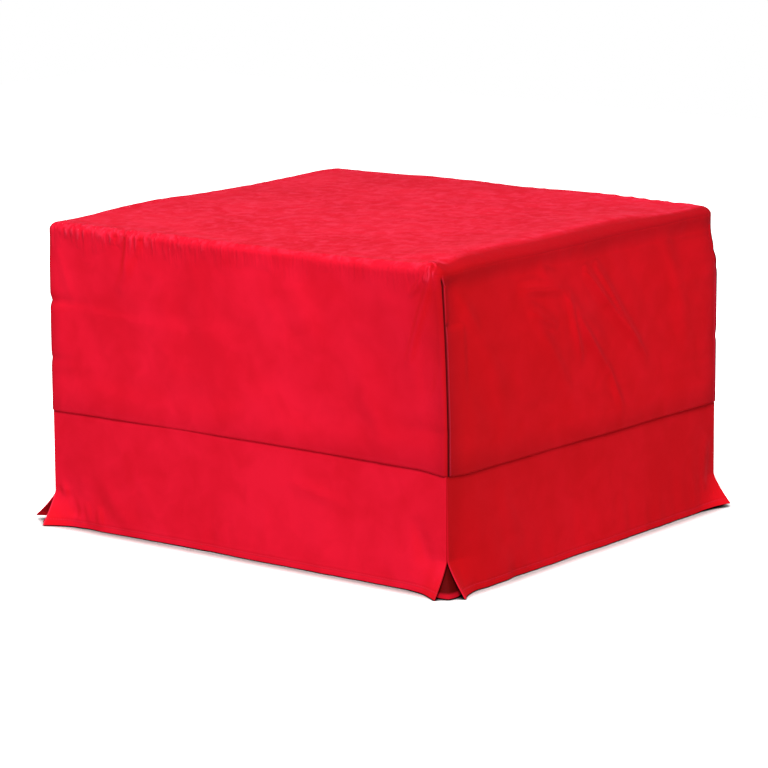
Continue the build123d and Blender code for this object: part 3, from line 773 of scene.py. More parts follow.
class GUESTBED_OT_skirts(bpy.types.Operator):
    """Four skirt panels, split at the corners, their lower corners curling out"""

    bl_idname = "guestbed.skirts"
    bl_label = "Skirts"

    def execute(self, context):
        sizes = context.scene.slipcover
        nap = material("skirt_nap", build_skirt_cloth)
        heights = skirt_levels(sizes)
        for face in FACES:
            run, offset = (half - sizes.step for half in half_sizes(sizes, face))
            if face in ("left", "right"):
                run -= sizes.cloth + 0.0006
            spots = [-run + end for end in END_STEPS]
            spots += list(np.linspace(0.0135 - run, run - 0.0135, 176))
            spots += [run - end for end in reversed(END_STEPS)]
            rows, places = [], []
            for height in heights:
                share = height / heights[-1]
                rows.append([skirt_point(sizes, face, a, share, run, offset) for a in spots])
                places.append([(a + 0.40, height) for a in spots])
            panel = mesh_sheet(f"skirt_{face}_panel", rows, places)
            self.mark_ends(panel, face, heights, len(spots), sizes)
            sew(panel, sizes.cloth, nap, "slipcover_cloth", f"skirt_{face}", 2 * run)
        return {"FINISHED"}

    def mark_ends(self, panel, face, heights, wide, sizes):
        """Mark a painted highlight on the hemmed ends low down, strongest at the front's left end."""
        edge = panel.data.attributes.new("welt_mark", "FLOAT", "POINT")
        for level, height in enumerate(heights):
            low = smooth((sizes.flare_rise - height) / 0.01)
            for column, strength in ((0, 0.9), (1, 0.5)):
                highlight_share = 1.0 if face == "front" else 0.2
                edge.data[level * wide + column].value = highlight_share * strength * low
                edge.data[level * wide + wide - 1 - column].value = 0.2 * strength * low


class GUESTBED_OT_corner_inserts(bpy.types.Operator):
    """Strips of the same cloth behind the four slits, spreading with the curled corners"""

    bl_idname = "guestbed.corner_inserts"
    bl_label = "Corner inserts"

    def execute(self, context):
        sizes = context.scene.slipcover
        nap = material("insert_nap", build_insert_cloth)
        back = sizes.step + sizes.cloth + 0.0012
        face_x, face_y = sizes.half_width - back, sizes.half_depth - back
        reach, bend = 0.058, 0.016
        # Each place of the path: where it is, its way out, and how far from the corner it lies
        flat = reach - bend
        path = [(face_x - reach + t * flat / 12, face_y, 0, 1, (12 - t) / 12) for t in range(12)]
        for t in range(17):
            turn = math.pi / 2 * t / 16
            sin, cos = math.sin(turn), math.cos(turn)
            path.append((face_x - bend + bend * sin, face_y - bend + bend * cos, sin, cos, 0))
        path += [(face_x, face_y - bend - t * flat / 12, 1, 0, t / 12) for t in range(1, 13)]
        arc = arc_lengths(path)
        for sx, sy, word in ((1, -1, "near"), (1, 1, "right"), (-1, 1, "back"), (-1, -1, "left")):
            rows, places = [], []
            for level in range(46):
                height = 0.150 * (level / 45) ** 1.3
                row = []
                for (x, y, nx, ny, far), along in zip(path, arc):
                    middle = 2 * min(nx, ny) / 1.42
                    near = back - sizes.step + (bend + far * flat) * (1 - middle)
                    out = (0.84 + 0.36 * middle) * flare_push(sizes, max(near, 0.0), height)
                    out -= 0.0005 * (1 + wave(along * 26.0, height * 9.0, 60 + sx * 2 + sy))
                    row.append((sx * (x + nx * out), sy * (y + ny * out), sizes.hem + 0.0003 + height))
                rows.append(row)
                places.append([(along + 0.1, height) for along in arc])
            strip = mesh_sheet(f"corner_insert_{word}", rows, places)
            normal = strip.data.polygons[len(strip.data.polygons) // 2].normal
            if normal.x * sx + normal.y * sy < 0:
                strip.data.flip_normals()
            thick, width = sizes.cloth * 0.9, arc[-1]
            sew(strip, thick, nap, "insert_cloth", "corner_inserts", width)
        return {"FINISHED"}


def middle_and_half(box):
    """Middle and half size of a mattress block from its CAD node."""
    low, high = box
    return (low + high) / 2, (high - low) / 2


# The filling's cloth simulation, and how many frames it runs
FILLING = {
    "use_pressure": True, "uniform_pressure_force": 3.0, "quality": 4,
    "tension_stiffness": 20, "compression_stiffness": 12,
}
FRAMES = 14


def filled_block(sizes, half):
    """One mattress block round the origin, its crown upwards, swollen by its filling."""
    pick()
    bpy.ops.mesh.primitive_cube_add(size=2.0, location=(0, 0, 0))
    block = bpy.context.object
    block.name = "mattress_form"
    block.scale = (half.x - sizes.shrink - 0.001, half.y - sizes.shrink, half.z - 0.0035)
    bpy.ops.object.transform_apply(location=False, rotation=False, scale=True)
    bevel = block.modifiers.new("Edges", "BEVEL")
    bevel.width = 0.013
    bevel.segments = 4
    bpy.ops.object.modifier_apply(modifier=bevel.name)
    block.data.remesh_voxel_size = sizes.voxel
    bpy.ops.object.voxel_remesh()
    start = np.zeros(len(block.data.vertices) * 3, dtype=np.float32)
    block.data.vertices.foreach_get("co", start)
    cloth = block.modifiers.new("Filling", "CLOTH")
    for name, value in FILLING.items():
        setattr(cloth.settings, name, value)
    cloth.settings.effector_weights.gravity = 0.0
    cloth.point_cache.frame_start = 1
    cloth.point_cache.frame_end = FRAMES
    scene = bpy.context.scene
    for step in range(1, FRAMES + 1):
        scene.frame_set(step)
    bpy.ops.object.modifier_apply(modifier=cloth.name)
    scene.frame_set(1)
    moved = np.zeros_like(start)
    block.data.vertices.foreach_get("co", moved)
    shift = (moved - start).reshape(-1, 3)
    size = np.linalg.norm(shift, axis=1, keepdims=True)
    shift *= np.minimum(1.0, sizes.swell / np.maximum(size, 1e-9))
    block.data.vertices.foreach_set("co", (start.reshape(-1, 3) + shift).ravel().astype(np.float32))
    block.data.update()
    return block


def soften(block, half):
    """The filled block's own shape: crowned above, sides drawn in, flat where it rests."""
    for vertex in block.data.vertices:
        co = vertex.co
        u, v, w = co.x / half.x, co.y / half.y, co.z / half.z
        arch = (1 - min(abs(u), 1) ** 2.2) * (1 - min(abs(v), 1) ** 2.2)
        if w > 0:
            co.z = min(co.z, half.z - 0.0004 - 0.0068 * (1 - arch) * 0.92)
        else:
            co.z = max(co.z, -half.z + 0.0003)
        pinch = BLOCK_DRAW * min(abs(w), 1) ** 2.2
        wobble = abs(0.0009 * wave(co.x * 9 + co.z * 11, co.y * 9, 80.0))
        limit_x = half.x - 0.0006 - pinch - wobble
        limit_y = half.y - 0.0006 - pinch - wobble
        co.x = max(min(co.x, limit_x), -limit_x)
        co.y = max(min(co.y, limit_y), -limit_y)
        if w < -0.6:
            co.z += 0.0005 * wave(co.x * 16, co.y * 16, 81.0)
        elif w > 0.5:
            co.z -= abs(0.0011 * wave(co.x * 13, co.y * 13, 82.0))


# The frame and block that a strap goes round: room under the rail, rail, half the bed's gauge
STRAP_ROOM, RAIL, GAUGE = 0.0014, 0.022, 0.338
# The block: half width and depth, how far its sides draw in, edge radius, crown, top over the plane
BLOCK_HALF, BLOCK_DEPTH, BLOCK_DRAW = 0.331, 0.3085, 0.005
BLOCK_EDGE, BLOCK_CROWN, BLOCK_TOP = 0.009, 0.007, 0.1057
# Points of the strap's line that touch the block, and how far it presses the block in there
TOUCHING = 68
PRESSED = 0.0006


def strap_profile(extra, sizes):
    """Half of a strap's line, x outwards and height over the section's fold plane."""
    edge_height = BLOCK_TOP - 0.0003 - BLOCK_CROWN
    lift = 0.0003 + extra
    hip = BLOCK_HALF - BLOCK_DRAW
    reach = hip - BLOCK_EDGE
    lead = BLOCK_CROWN * 1.25
    radius = (reach ** 2 + lead ** 2) / (2 * lead)
    reach_y = BLOCK_DEPTH - BLOCK_DRAW - BLOCK_EDGE
    radius_y = (reach_y ** 2 + BLOCK_CROWN ** 2) / (2 * BLOCK_CROWN)
    near_y = sizes.strap_y - sizes.strap_half
    level = BLOCK_CROWN - radius_y + math.sqrt(radius_y ** 2 - near_y ** 2)
    hip_height = edge_height - BLOCK_EDGE
    waist_height = (hip_height + BLOCK_BASE + BLOCK_EDGE) / 2
    line = []
    for t in range(41):
        x = reach * t / 40
        rise = min(level, lead - radius + math.sqrt(radius ** 2 - x ** 2))
        line.append((x, edge_height + rise + lift))
    for t in range(1, 10):
        turn = math.pi / 2 * t / 9
        r = (BLOCK_EDGE + lift) / math.cos(math.radians(15)) if t < 9 else BLOCK_EDGE + lift + 0.0003
        line.append((reach + r * math.sin(turn), hip_height + r * math.cos(turn)))
    steps = [t / 8 for t in range(1, 9)]
    for share in steps:
        bulge = BLOCK_DRAW * (1 - (1 - share) ** 2)
        line.append((hip + bulge + lift + 0.0003, hip_height + (waist_height - hip_height) * share))
    foot = (GAUGE + lift, STRAP_ROOM + RAIL)
    waist = line[-1]
    line += [tuple(a + (b - a) * share for a, b in zip(waist, foot)) for share in steps]
    line += [(GAUGE + lift, STRAP_ROOM + RAIL * s) for s in (0.66, 0.33, 0.08)]
    line += [(GAUGE - inward, STRAP_ROOM - lift) for inward in (0.001, 0.007, 0.015)]
    line += [(GAUGE - RAIL + 0.001, STRAP_ROOM - lift)]
    line += [(GAUGE - RAIL - lift, STRAP_ROOM + 0.0014 * s) for s in (1, 4, 7, 10)]
    return line


def press_under_straps(points, sizes):
    """The block gives way a little where the straps hold it down."""
    line = np.array(strap_profile(0.0, sizes)[:TOUCHING])
    start, run = line[:-1], line[1:] - line[:-1]
    long2 = (run ** 2).sum(1)
    normal = np.stack([-run[:, 1], run[:, 0]], 1) / np.sqrt(long2)[:, None]
    for k, point in enumerate(points):
        away = min(abs(point[1] - sizes.strap_y), abs(point[1] + sizes.strap_y))
        if away > sizes.strap_half + 0.016:
            continue
        hold = 1.0 - smooth((away - sizes.strap_half - 0.002) / 0.013)
        spot = np.array((abs(point[0]), point[2]))
        share = np.clip(((spot - start) * run).sum(1) / long2, 0, 1)
        gap = spot - (start + run * share[:, None])
        best = int(((gap ** 2).sum(1)).argmin())
        outward = normal[best] if normal[best][1] > 0 or normal[best][0] > 0 else -normal[best]
        over = float(gap[best] @ outward) + PRESSED
        if over > 0:
            spot = spot - outward * over * hold
            points[k] = (math.copysign(spot[0], point[0]), point[1], spot[1])
    return points


# The piped seams of a block: height as a share of its half height, how far in
PIPED = ((0.62, 0.0068), (-0.80, 0.0040))


class GUESTBED_OT_mattress_blocks(bpy.types.Operator):
    """Three stuffed blocks in ticking with piped edges, one on each bed section"""

    bl_idname = "guestbed.mattress_blocks"
    bl_label = "Mattress blocks"

    def execute(self, context):
        sizes = context.scene.guestbed_bed
        _, half = middle_and_half(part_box("base_mattress"))
        form = filled_block(sizes, half)
        soften(form, half)
        pick(form)
        ease = form.modifiers.new("Ease", "SMOOTH")
        ease.factor = 0.5
        ease.iterations = 2
        bpy.ops.object.modifier_apply(modifier=ease.name)
        points = np.zeros(len(form.data.vertices) * 3, dtype=np.float32)
        form.data.vertices.foreach_get("co", points)
        plane = BLOCK_BASE + half.z
        lifted = press_under_straps([(x, y, z + plane) for x, y, z in points.reshape(-1, 3)], sizes)
        points = np.array([(x, y, z - plane) for x, y, z in lifted], dtype=np.float32)
        ticking = material("ticking", build_ticking)
        for section in SECTIONS:
            middle, _ = middle_and_half(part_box(f"{section}_mattress"))
            way = STRAP_PLANES[section][1]
            pick(form)
            bpy.ops.object.duplicate()
            block = context.object
            block.name = f"{section}_mattress_block"
            block.data.name = block.name
            placed = points * np.array((1, way, way), dtype=np.float32)
            placed = placed + np.array(middle, dtype=np.float32)
            block.data.vertices.foreach_set("co", placed.ravel())
            block.data.update()
            self.pipe(block, middle, half, way, sizes)
            pick(block)
            bpy.ops.object.shade_smooth_by_angle(angle=BLOCK_CREASE)
            dress(block, ticking, "mattress_ticking", f"{section}_section", f"{section}_mattress")
        bpy.data.objects.remove(form)
        return {"FINISHED"}

    def pipe(self, block, middle, half, way, sizes):
        """Piping along the block's own surface, where its top and its base are sewn to the side band."""
        lines = []
        for level, inset in PIPED:
            line = []
            for x, y in self.outline(half, inset):
                start = Vector((x + middle.x, way * y + middle.y, way * level * half.z + middle.z))
                _, spot, normal, _ = block.closest_point_on_mesh(start)
                away = min(abs(y - sizes.strap_y), abs(y + sizes.strap_y))
                held = 1 - smooth((away - sizes.strap_half - 0.004) / 0.012)
                held *= abs(x) > half.x - 0.02
                line.append(spot + normal * sizes.piping * (0.35 - 1.75 * held))
            lines.append(line)
        for line in lines:
            curve = bpy.data.curves.new("piping", "CURVE")
            curve.dimensions = "3D"
            curve.bevel_depth = sizes.piping
            curve.bevel_resolution = 2
            spline = curve.splines.new("POLY")
            spline.points.add(len(line) - 1)
            for point, spot in zip(spline.points, line):
                point.co = (*spot, 1)
            spline.use_cyclic_u = True
            seam = bpy.data.objects.new("piping", curve)
            bpy.context.scene.collection.objects.link(seam)
            pick(seam)
            bpy.ops.object.convert(target="MESH")
            pick(seam, block)
            bpy.ops.object.join()

    def outline(self, half, inset):
        """Points round the block, its corners rounded."""
        radius = 0.020
        reach_x, reach_y = half.x - inset - radius, half.y - inset - radius
        line = []
        for sx, sy, first in ((1, 1, 0), (-1, 1, 90), (-1, -1, 180), (1, -1, 270)):
            for t in range(10):
                turn = math.radians(first + 10 * t)
                line.append((sx * reach_x + radius * math.cos(turn), sy * reach_y + radius * math.sin(turn)))
            x, y = line[-1]
            crosswise = first in (0, 180)
            reach, count, side = (reach_x, 40, sy) if crosswise else (reach_y, 60, -sx)
            for t in range(1, count):
                slid = side * (reach - 2 * reach * t / count)
                line.append((slid, y) if crosswise else (x, slid))
        return line


class GUESTBED_OT_straps(bpy.types.Operator):
    """Woven straps over each mattress block, turned round the side rails"""

    bl_idname = "guestbed.straps"
    bl_label = "Straps"

    def execute(self, context):
        sizes = context.scene.guestbed_bed
        webbing = material("webbing", build_webbing)
        half = strap_profile(sizes.strap_thick * 0.9, sizes)
        line = [(-x, h) for x, h in reversed(half)] + half[1:]
        arc = arc_lengths(line)
        offsets = [share * sizes.strap_half for share in (-1.0, -0.9, -0.45, 0.0, 0.45, 0.9, 1.0)]
        for section in SECTIONS:
            plane, up = STRAP_PLANES[section]
            made, total = [], 0.0
            for y in (-sizes.strap_y, sizes.strap_y):
                rows = [[(x, y + off * up, plane + up * h) for off in offsets] for x, h in line]
                places = [[(off + 0.03, run) for off in offsets] for run in arc]
                band = mesh_sheet(f"{section}_strap", rows, places)
                face = band.data.polygons[len(band.data.polygons) // 2]
                if face.normal.z * up < 0:
                    band.data.flip_normals()
                total += sheet_area(band)
                give_thickness(band, sizes.strap_thick * 0.8)
                made.append(band)
            pick(*reversed(made))
            bpy.ops.object.join()
            pair = context.object
            pair.name = f"{section}_strap_pair"
            dress(pair, webbing, "strap_webbing", f"{section}_section", f"{section}_straps")
        return {"FINISHED"}


class Signal:
    """A socket of a node tree, so that sums, ramps, noises and mixes read like arithmetic."""

    def __init__(self, socket):
        self.socket = socket
        self.tree = socket.id_data

    def through(self, kind, inputs, result=0, **values):
        """Put a node after this one and give back one of its results."""
        made = node(self.tree, kind, **values)
        for slot, value in inputs:
            feed(value, made.inputs[slot])
        return Signal(made.outputs[result])

    def math(self, operation, *others):
        return self.through("ShaderNodeMath", enumerate((self, *others)), operation=operation)

    def __add__(self, other):
        return self.math("ADD", other)

    def __sub__(self, other):
        return self.math("SUBTRACT", other)

    def __rsub__(self, other):
        return self.through("ShaderNodeMath", enumerate((other, self)), operation="SUBTRACT")

    def __mul__(self, other):
        return self.math("MULTIPLY", other)

    def __truediv__(self, other):
        return self.math("DIVIDE", other)

    def __abs__(self):
        return self.math("ABSOLUTE")

    def wave(self, pitch):
        return (self * pitch).math("SINE")

    def ramp(self, low, high, new_low=0.0, new_high=1.0):
        """This value's place between two others, as a place between two new ones."""
        return self.through("ShaderNodeMapRange", enumerate((self, low, high, new_low, new_high)))

    def noise(self, scale, detail=3.0, rough=0.55, distortion=0.0):
        inputs = (("Vector", self), ("Scale", scale), ("Detail", detail), ("Roughness", rough))
        return self.through("ShaderNodeTexNoise", (*inputs, ("Distortion", distortion)), "Fac")

    def stretched(self, scale, rotation=(0, 0, 0)):
        return self.through("ShaderNodeMapping", (("Vector", self), ("Scale", scale), ("Rotation", rotation)))

    def parts(self):
        made = node(self.tree, "ShaderNodeSeparateXYZ")
        feed(self, made.inputs[0])
        return [Signal(socket) for socket in made.outputs]

    def mix(self, first, second):
        """From the first colour to the second by this share."""
        made = node(self.tree, "ShaderNodeMix", data_type="RGBA")
        feed(self, made.inputs[0])
        for value, socket in zip((first, second), [s for s in made.inputs if s.type == "RGBA"]):
            feed(value, socket)
        return Signal([s for s in made.outputs if s.type == "RGBA"][0])

    def bump(self, distance, strength=1.0, normal=None):
        inputs = [("Height", self), ("Distance", distance), ("Strength", strength)]
        if normal:
            inputs.append(("Normal", normal))
        return self.through("ShaderNodeBump", inputs)


def node(tree, kind, **values):
    made = tree.nodes.new(kind)
    for key, value in values.items():
        setattr(made, key, value)
    return made


def feed(value, socket):
    """Link a signal to a socket, or set the socket to a plain value."""
    if isinstance(value, Signal):
        value.tree.links.new(value.socket, socket)
    elif socket.type == "RGBA" and len(value) == 3:
        socket.default_value = (*value, 1.0)
    else:
        socket.default_value = value


def results(made):
    """The results of a node by their names."""
    return {socket.name: Signal(socket) for socket in made.outputs}


def nap_group(start):
    """Brushed nap: broad and small patches of colour, fine creases and pile as a height."""
    vector, scale = start["Vector"], start["Patch scale"]
    broad = vector.noise(scale, 2.0, 0.5, 0.35)
    small = vector.noise(scale * 3.6, 3.0, 0.5, 0.5)
    creases = vector.noise(start["Crease scale"], 4.0, 0.6, 0.5)
    return broad * 0.58 + small * 0.42, creases, vector.noise(start["Pile scale"], 2.0, 0.6)


def gather_group(start):
    """Fine gathers beside the top seam: their height, and where on the cover they lie."""
    vector = start["Vector"]
    x, y, z = vector.parts()
    edge = (abs(x) / start["Half width"]).math("MAXIMUM", abs(y) / start["Half depth"])
    reach = start["Reach"] * vector.noise(22.0, 2.0, 0.5).ramp(0.35, 0.65, 0.35, 1.5)
    band = edge.ramp(0.90, 0.985) * ((start["Seam height"] - z) / reach).ramp(-0.1, 1.15, 1.0, 0.0)
    streaks = vector.stretched((1.0, 1.0, 0.14), (0.0, 0.12, 0.0)).noise(170.0, 2.0, 0.5, 0.2)
    return streaks.ramp(0.3, 0.7) * band, band


def stitch_group(start):
    """A row of machine stitches at a height on the cloth: their mask and the dent between them."""
    away = abs(start["Up"] - start["Row height"])
    tooth = abs((start["Along"] / start["Pitch"]).math("FRACT") - 0.5)
    stitches = away.ramp(0.0003, 0.0011, 1.0, 0.0) * tooth.ramp(0.26, 0.36, 1.0, 0.0)
    return stitches, away.ramp(0.0002, 0.0032, 1.0, 0.0)


def weave_group(start):
    """Crossed threads as a height, with the share of the thread that lies on top."""
    x, y, _ = start["Vector"].parts()
    product = x.wave(start["Threads"]) * y.wave(start["Threads"])
    return product.ramp(-1.0, 1.0), abs(product).ramp(0.0, 0.5)


def wear_group(start):
    """Fine speckle and soft smudges for painted and moulded parts."""
    vector = start["Vector"]
    return vector.noise(start["Speckle scale"], 1.0), vector.noise(18.0, 5.0, 0.65, 0.6)


# Each shared effect: what fills it, its inputs with their values, and its results
GROUPS = {
    "Brushed nap": (
        nap_group,
        {"Vector": None, "Patch scale": 8.0, "Crease scale": 60.0, "Pile scale": 900.0},
        ("Patches", "Creases", "Pile"),
    ),
    "Seam gathers": (
        gather_group,
        {"Vector": None, "Seam height": 0.421, "Reach": 0.020, "Half width": 0.350, "Half depth": 0.3275},
        ("Height", "Band"),
    ),
    "Stitch row": (
        stitch_group,
        {"Along": 0.0, "Up": 0.0, "Row height": 0.0075, "Pitch": 0.0034},
        ("Stitches", "Dent"),
    ),
    "Plain weave": (weave_group, {"Vector": None, "Threads": 1100.0}, ("Height", "Over")),
    "Handling marks": (wear_group, {"Vector": None, "Speckle scale": 1400.0}, ("Speckle", "Smudge")),
}


def effect(name, tree, inputs):
    """Place a shared effect in a material, fed with some inputs, and give back its results."""
    if name not in bpy.data.node_groups:
        fill, defaults, found = GROUPS[name]
        group = bpy.data.node_groups.new(name, "ShaderNodeTree")
        for label, value in defaults.items():
            kind = "NodeSocketVector" if value is None else "NodeSocketFloat"
            socket = group.interface.new_socket(name=label, in_out="INPUT", socket_type=kind)
            if value is not None:
                socket.default_value = value
        for label in found:
            group.interface.new_socket(name=label, in_out="OUTPUT", socket_type="NodeSocketFloat")
        start, end = node(group, "NodeGroupInput"), node(group, "NodeGroupOutput")
        for label, value in zip(found, fill(results(start))):
            feed(value, end.inputs[label])
    made = node(tree, "ShaderNodeGroup", node_tree=bpy.data.node_groups[name])
    for label, value in inputs.items():
        feed(value, made.inputs[label])
    return results(made)


def material(name, build):
    """A material by its name, built the first time that it is asked for."""
    if name in bpy.data.materials:
        return bpy.data.materials[name]
    made = bpy.data.materials.new(name)
    made.use_nodes = True
    build(made.node_tree, made.node_tree.nodes["Principled BSDF"])
    return made


def cloth_vector(tree):
    """Cloth places: the sheet's own map, in metres."""
    return results(node(tree, "ShaderNodeUVMap", uv_map="Cloth"))["UV"]


def object_vector(tree):
    return results(node(tree, "ShaderNodeTexCoord"))["Object"]


def mark(tree, name):
    """How strongly a mark that the mesh carries holds at a place."""
    return results(node(tree, "ShaderNodeAttribute", attribute_name=name))["Fac"]


def shaded(colour, red, green=None, blue=None):
    """A colour times one share, or times a share for each of its three parts."""
    shares = (red, red if green is None else green, red if blue is None else blue)
    return tuple(part * share for part, share in zip(colour, shares))


def coat(shader, colour, rough, normal, **values):
    """Give the shader its colour, roughness and normal, and set its other sockets."""
    for label, value in (("Base Color", colour), ("Roughness", rough), ("Normal", normal)):
        feed(value, shader.inputs[label])
    for label, value in values.items():
        shader.inputs[label.replace("_", " ")].default_value = value


def build_nap(tree, shader, bright, deep, stitches, painted_side_shade=1.0):
    """The slipcover's short brushed pile, with its patches, creases and sheen, and painted shade and painted
    highlights.
    """
    places = results(node(tree, "ShaderNodeTexCoord"))
    vector = places["Object"]
    x, y, z = vector.parts()
    face_x, face_y, face_z = places["Normal"].parts()
    level = face_z.ramp(0.35, 0.90)
    sideways = abs(face_x).ramp(0.09, 0.55)
    nap = effect("Brushed nap", tree, {"Vector": vector})
    share = nap["Patches"].ramp(0.38, 0.62) * sideways.ramp(0.0, 1.0, 1.0, 0.85)
    colour = share.mix(deep, bright)
    # light is a lighter, pinker copy of the cloth, used for painted sheen and highlights
    light = (min(bright[0] * 1.10, 1.0), bright[1] * 3.2 + 0.014, bright[2] * 2.0 + 0.026)
    dark = shaded(deep, 0.80)
    # Painted sheen along the crease streaks of upward faces
    streaks = nap["Creases"].ramp(0.44, 0.66) * level
    colour = (streaks * 0.55).mix(colour, light)
    # Painted shade: the left and right faces in a deeper, less pink copy of the cloth
    painted_side_tones = [
        (red * painted_side_shade, deep[1] * 0.70 * painted_side_shade, deep[2] * blue * painted_side_shade)
        for red, blue in ((deep[0], 0.30), (bright[0], 0.45))
    ]
    colour = (sideways * 0.8).mix(colour, share.mix(*painted_side_tones))
    # Painted shade on the rolled edge over the right face, and on the strip just under it
    rolled = abs(face_x).ramp(0.10, 0.42) * face_z.ramp(0.01, 0.14)
    rolled = rolled * z.ramp(0.395, 0.425, 0.0 if stitches else 0.34, 1.0)
    rolled = rolled.math("MAXIMUM", abs(face_x).ramp(0.30, 0.80) * z.ramp(0.398, 0.424, 0.0, 0.62))
    colour = (rolled * 0.90).mix(colour, shaded(deep, 0.60, 0.5, 0.36))
    # Painted shade on the front face near its right end, and on its upper corner there
    frontal = face_y.ramp(-0.5, -0.9)
    towards = x.ramp(0.10, 0.33) * frontal
    colour = (towards * (0.12 if stitches else 0.46)).mix(colour, shaded(deep, 0.70))
    peak = x.ramp(0.285, 0.340) * z.ramp(0.27, 0.38) * frontal * z.ramp(0.418, 0.405)
    colour = (peak * 0.62).mix(colour, shaded(deep, 0.66, 0.48, 0.16))
    # Painted shade on the right face near its front end
    beside = y.ramp(-0.06, -0.31) * face_x.ramp(0.5, 0.9)
    colour = (beside * 0.55).mix(colour, shaded(deep, 0.70, 0.55, 0.20))
    normal = nap["Patches"].bump(0.0050, 0.22)
    normal = (nap["Creases"] * level.ramp(0.0, 1.0, 0.30, 1.0)).bump(0.0016, 0.60, normal)
    normal = nap["Pile"].bump(0.0002, 0.25, normal)
    welt = mark(tree, "welt_mark")
    if stitches:
        # Painted highlight on the skirts' hemmed ends
        colour = (welt * 0.8).mix(colour, light)
        along, up, _ = cloth_vector(tree).parts()
        row = effect("Stitch row", tree, {"Along": along, "Up": up})
        # Painted shade in the dents of the stitch row
        colour = (row["Dent"] * 0.12).mix(colour, dark)
        colour = (row["Stitches"] * 0.22).mix(colour, light)
        normal = (1.0 - row["Dent"]).bump(0.0006, 0.6, normal)
        normal = row["Stitches"].bump(0.0005, 0.8, normal)
    else:
        gathers = effect("Seam gathers", tree, {"Vector": vector})
        calm = sideways.ramp(0.0, 1.0, 1.0, 0.2) * x.ramp(-0.20, 0.08, 1.0, 0.40)
        pinch = x.ramp(0.308, 0.325) * y.ramp(-0.300, -0.314) * z.ramp(0.408, 0.420)
        calm = calm.math("MAXIMUM", pinch * sideways.ramp(0.0, 1.0, 1.25, 0.0))
        height = gathers["Height"] * calm
        normal = height.bump(0.0022, 0.9, normal)
        # Painted highlights on the crests of the gathers, strongest at the pinched near corner
        colour = height.ramp(0.45, 0.95, 0.0, 0.6).mix(colour, light)
        # Painted shade either side of the upright seams, a painted highlight on the welt and painted shade
        # filling the crease near black
        colour = (mark(tree, "shade_mark") * 0.60).mix(colour, shaded(deep, 0.42))
        colour = (welt * 0.65).mix(colour, light)
        colour = mark(tree, "crease_mark").ramp(0.40, 0.80, 0.0, 0.97).mix(colour, (0.02, 0.001, 0.001))
    coat(
        shader, colour, nap["Patches"].ramp(0.3, 0.7, 0.90, 0.74), normal, Specular_IOR_Level=0.06,
        Sheen_Weight=0.14, Sheen_Roughness=0.38, Sheen_Tint=(1.0, 0.10, 0.17, 1.0),
    )


def build_slipcover_cloth(tree, shader):
    look = bpy.context.scene.guestbed_cloth
    build_nap(tree, shader, tuple(look.bright), tuple(look.deep), False)


def build_skirt_cloth(tree, shader):
    look = bpy.context.scene.guestbed_cloth
    # Painted shade: the skirts a little darker than the upper panels, their left and right faces darker still
    build_nap(tree, shader, shaded(look.bright, 0.965), shaded(look.deep, 0.965), True, 0.905)


def build_insert_cloth(tree, shader):
    """Cloth behind the slits in painted shade, the painted shade lifted at its hem and at the left corners.
    """
    look = bpy.context.scene.guestbed_cloth
    build_nap(tree, shader, tuple(look.insert), shaded(look.insert, 0.6), False)
    x, _, z = object_vector(tree).parts()
    # Painted light along the hem and at the left corners, over the painted shade of the insert
    lit = z.ramp(0.0055, 0.0085, 0.9, 0.0).math("MAXIMUM", x.ramp(-0.20, -0.30, 0.0, 0.85))
    inside = Signal(shader.inputs["Base Color"].links[0].from_socket)
    feed(lit.mix(inside, shaded(look.deep, 0.72)), shader.inputs["Base Color"])
    shader.inputs["Sheen Weight"].default_value = 0.03


def build_ticking(tree, shader):
    pale = tuple(bpy.context.scene.guestbed_cloth.ticking)
    vector = object_vector(tree)
    weave = effect("Plain weave", tree, {"Vector": vector, "Threads": 2600.0})
    soft = vector.noise(9.0, 4.0, 0.6)
    colour = soft.ramp(0.35, 0.7).mix(shaded(pale, 0.93), pale)
    colour = (weave["Over"] * 0.10).mix(colour, shaded(pale, 0.8))
    normal = vector.noise(60.0, 3.0, 0.5, 0.9).bump(0.0012, 0.35)
    normal = weave["Height"].bump(0.0002, 0.4, normal)
    coat(shader, colour, soft.ramp(0.3, 0.7, 0.88, 0.96), normal, Sheen_Weight=0.15, Specular_IOR_Level=0.25)


def build_webbing(tree, shader):
    dark = tuple(bpy.context.scene.guestbed_cloth.webbing)
    across, along, _ = cloth_vector(tree).parts()
    twill = (across + along).wave(1900.0)
    height = along.wave(3200.0) * 0.5 + across.wave(5200.0) * 0.3 + twill * 0.35
    fuzz = object_vector(tree).noise(500.0, 2.0)
    colour = twill.ramp(-1.0, 1.0, 0.0, 0.5).mix(dark, tuple(c * 2.0 + 0.01 for c in dark))
    colour = fuzz.ramp(0.4, 0.8, 0.0, 0.3).mix(colour, shaded(dark, 2.6))
    coat(shader, colour, fuzz.ramp(0.3, 0.7, 0.62, 0.8), height.ramp(-1.0, 1.0).bump(0.0003, 0.7))


def build_paint(tree, shader):
    grey = tuple(bpy.context.scene.guestbed_frame.paint)
    marks = effect("Handling marks", tree, {"Vector": object_vector(tree), "Speckle scale": 950.0})
    colour = marks["Smudge"].ramp(0.4, 0.75).mix(grey, shaded(grey, 1.25))
    colour = marks["Speckle"].ramp(0.55, 0.8, 0.0, 0.35).mix(colour, shaded(grey, 1.7))
    rough = marks["Smudge"].ramp(0.35, 0.7, 0.42, 0.58)
    coat(shader, colour, rough, marks["Speckle"].bump(0.00025, 0.5), Specular_IOR_Level=0.5)


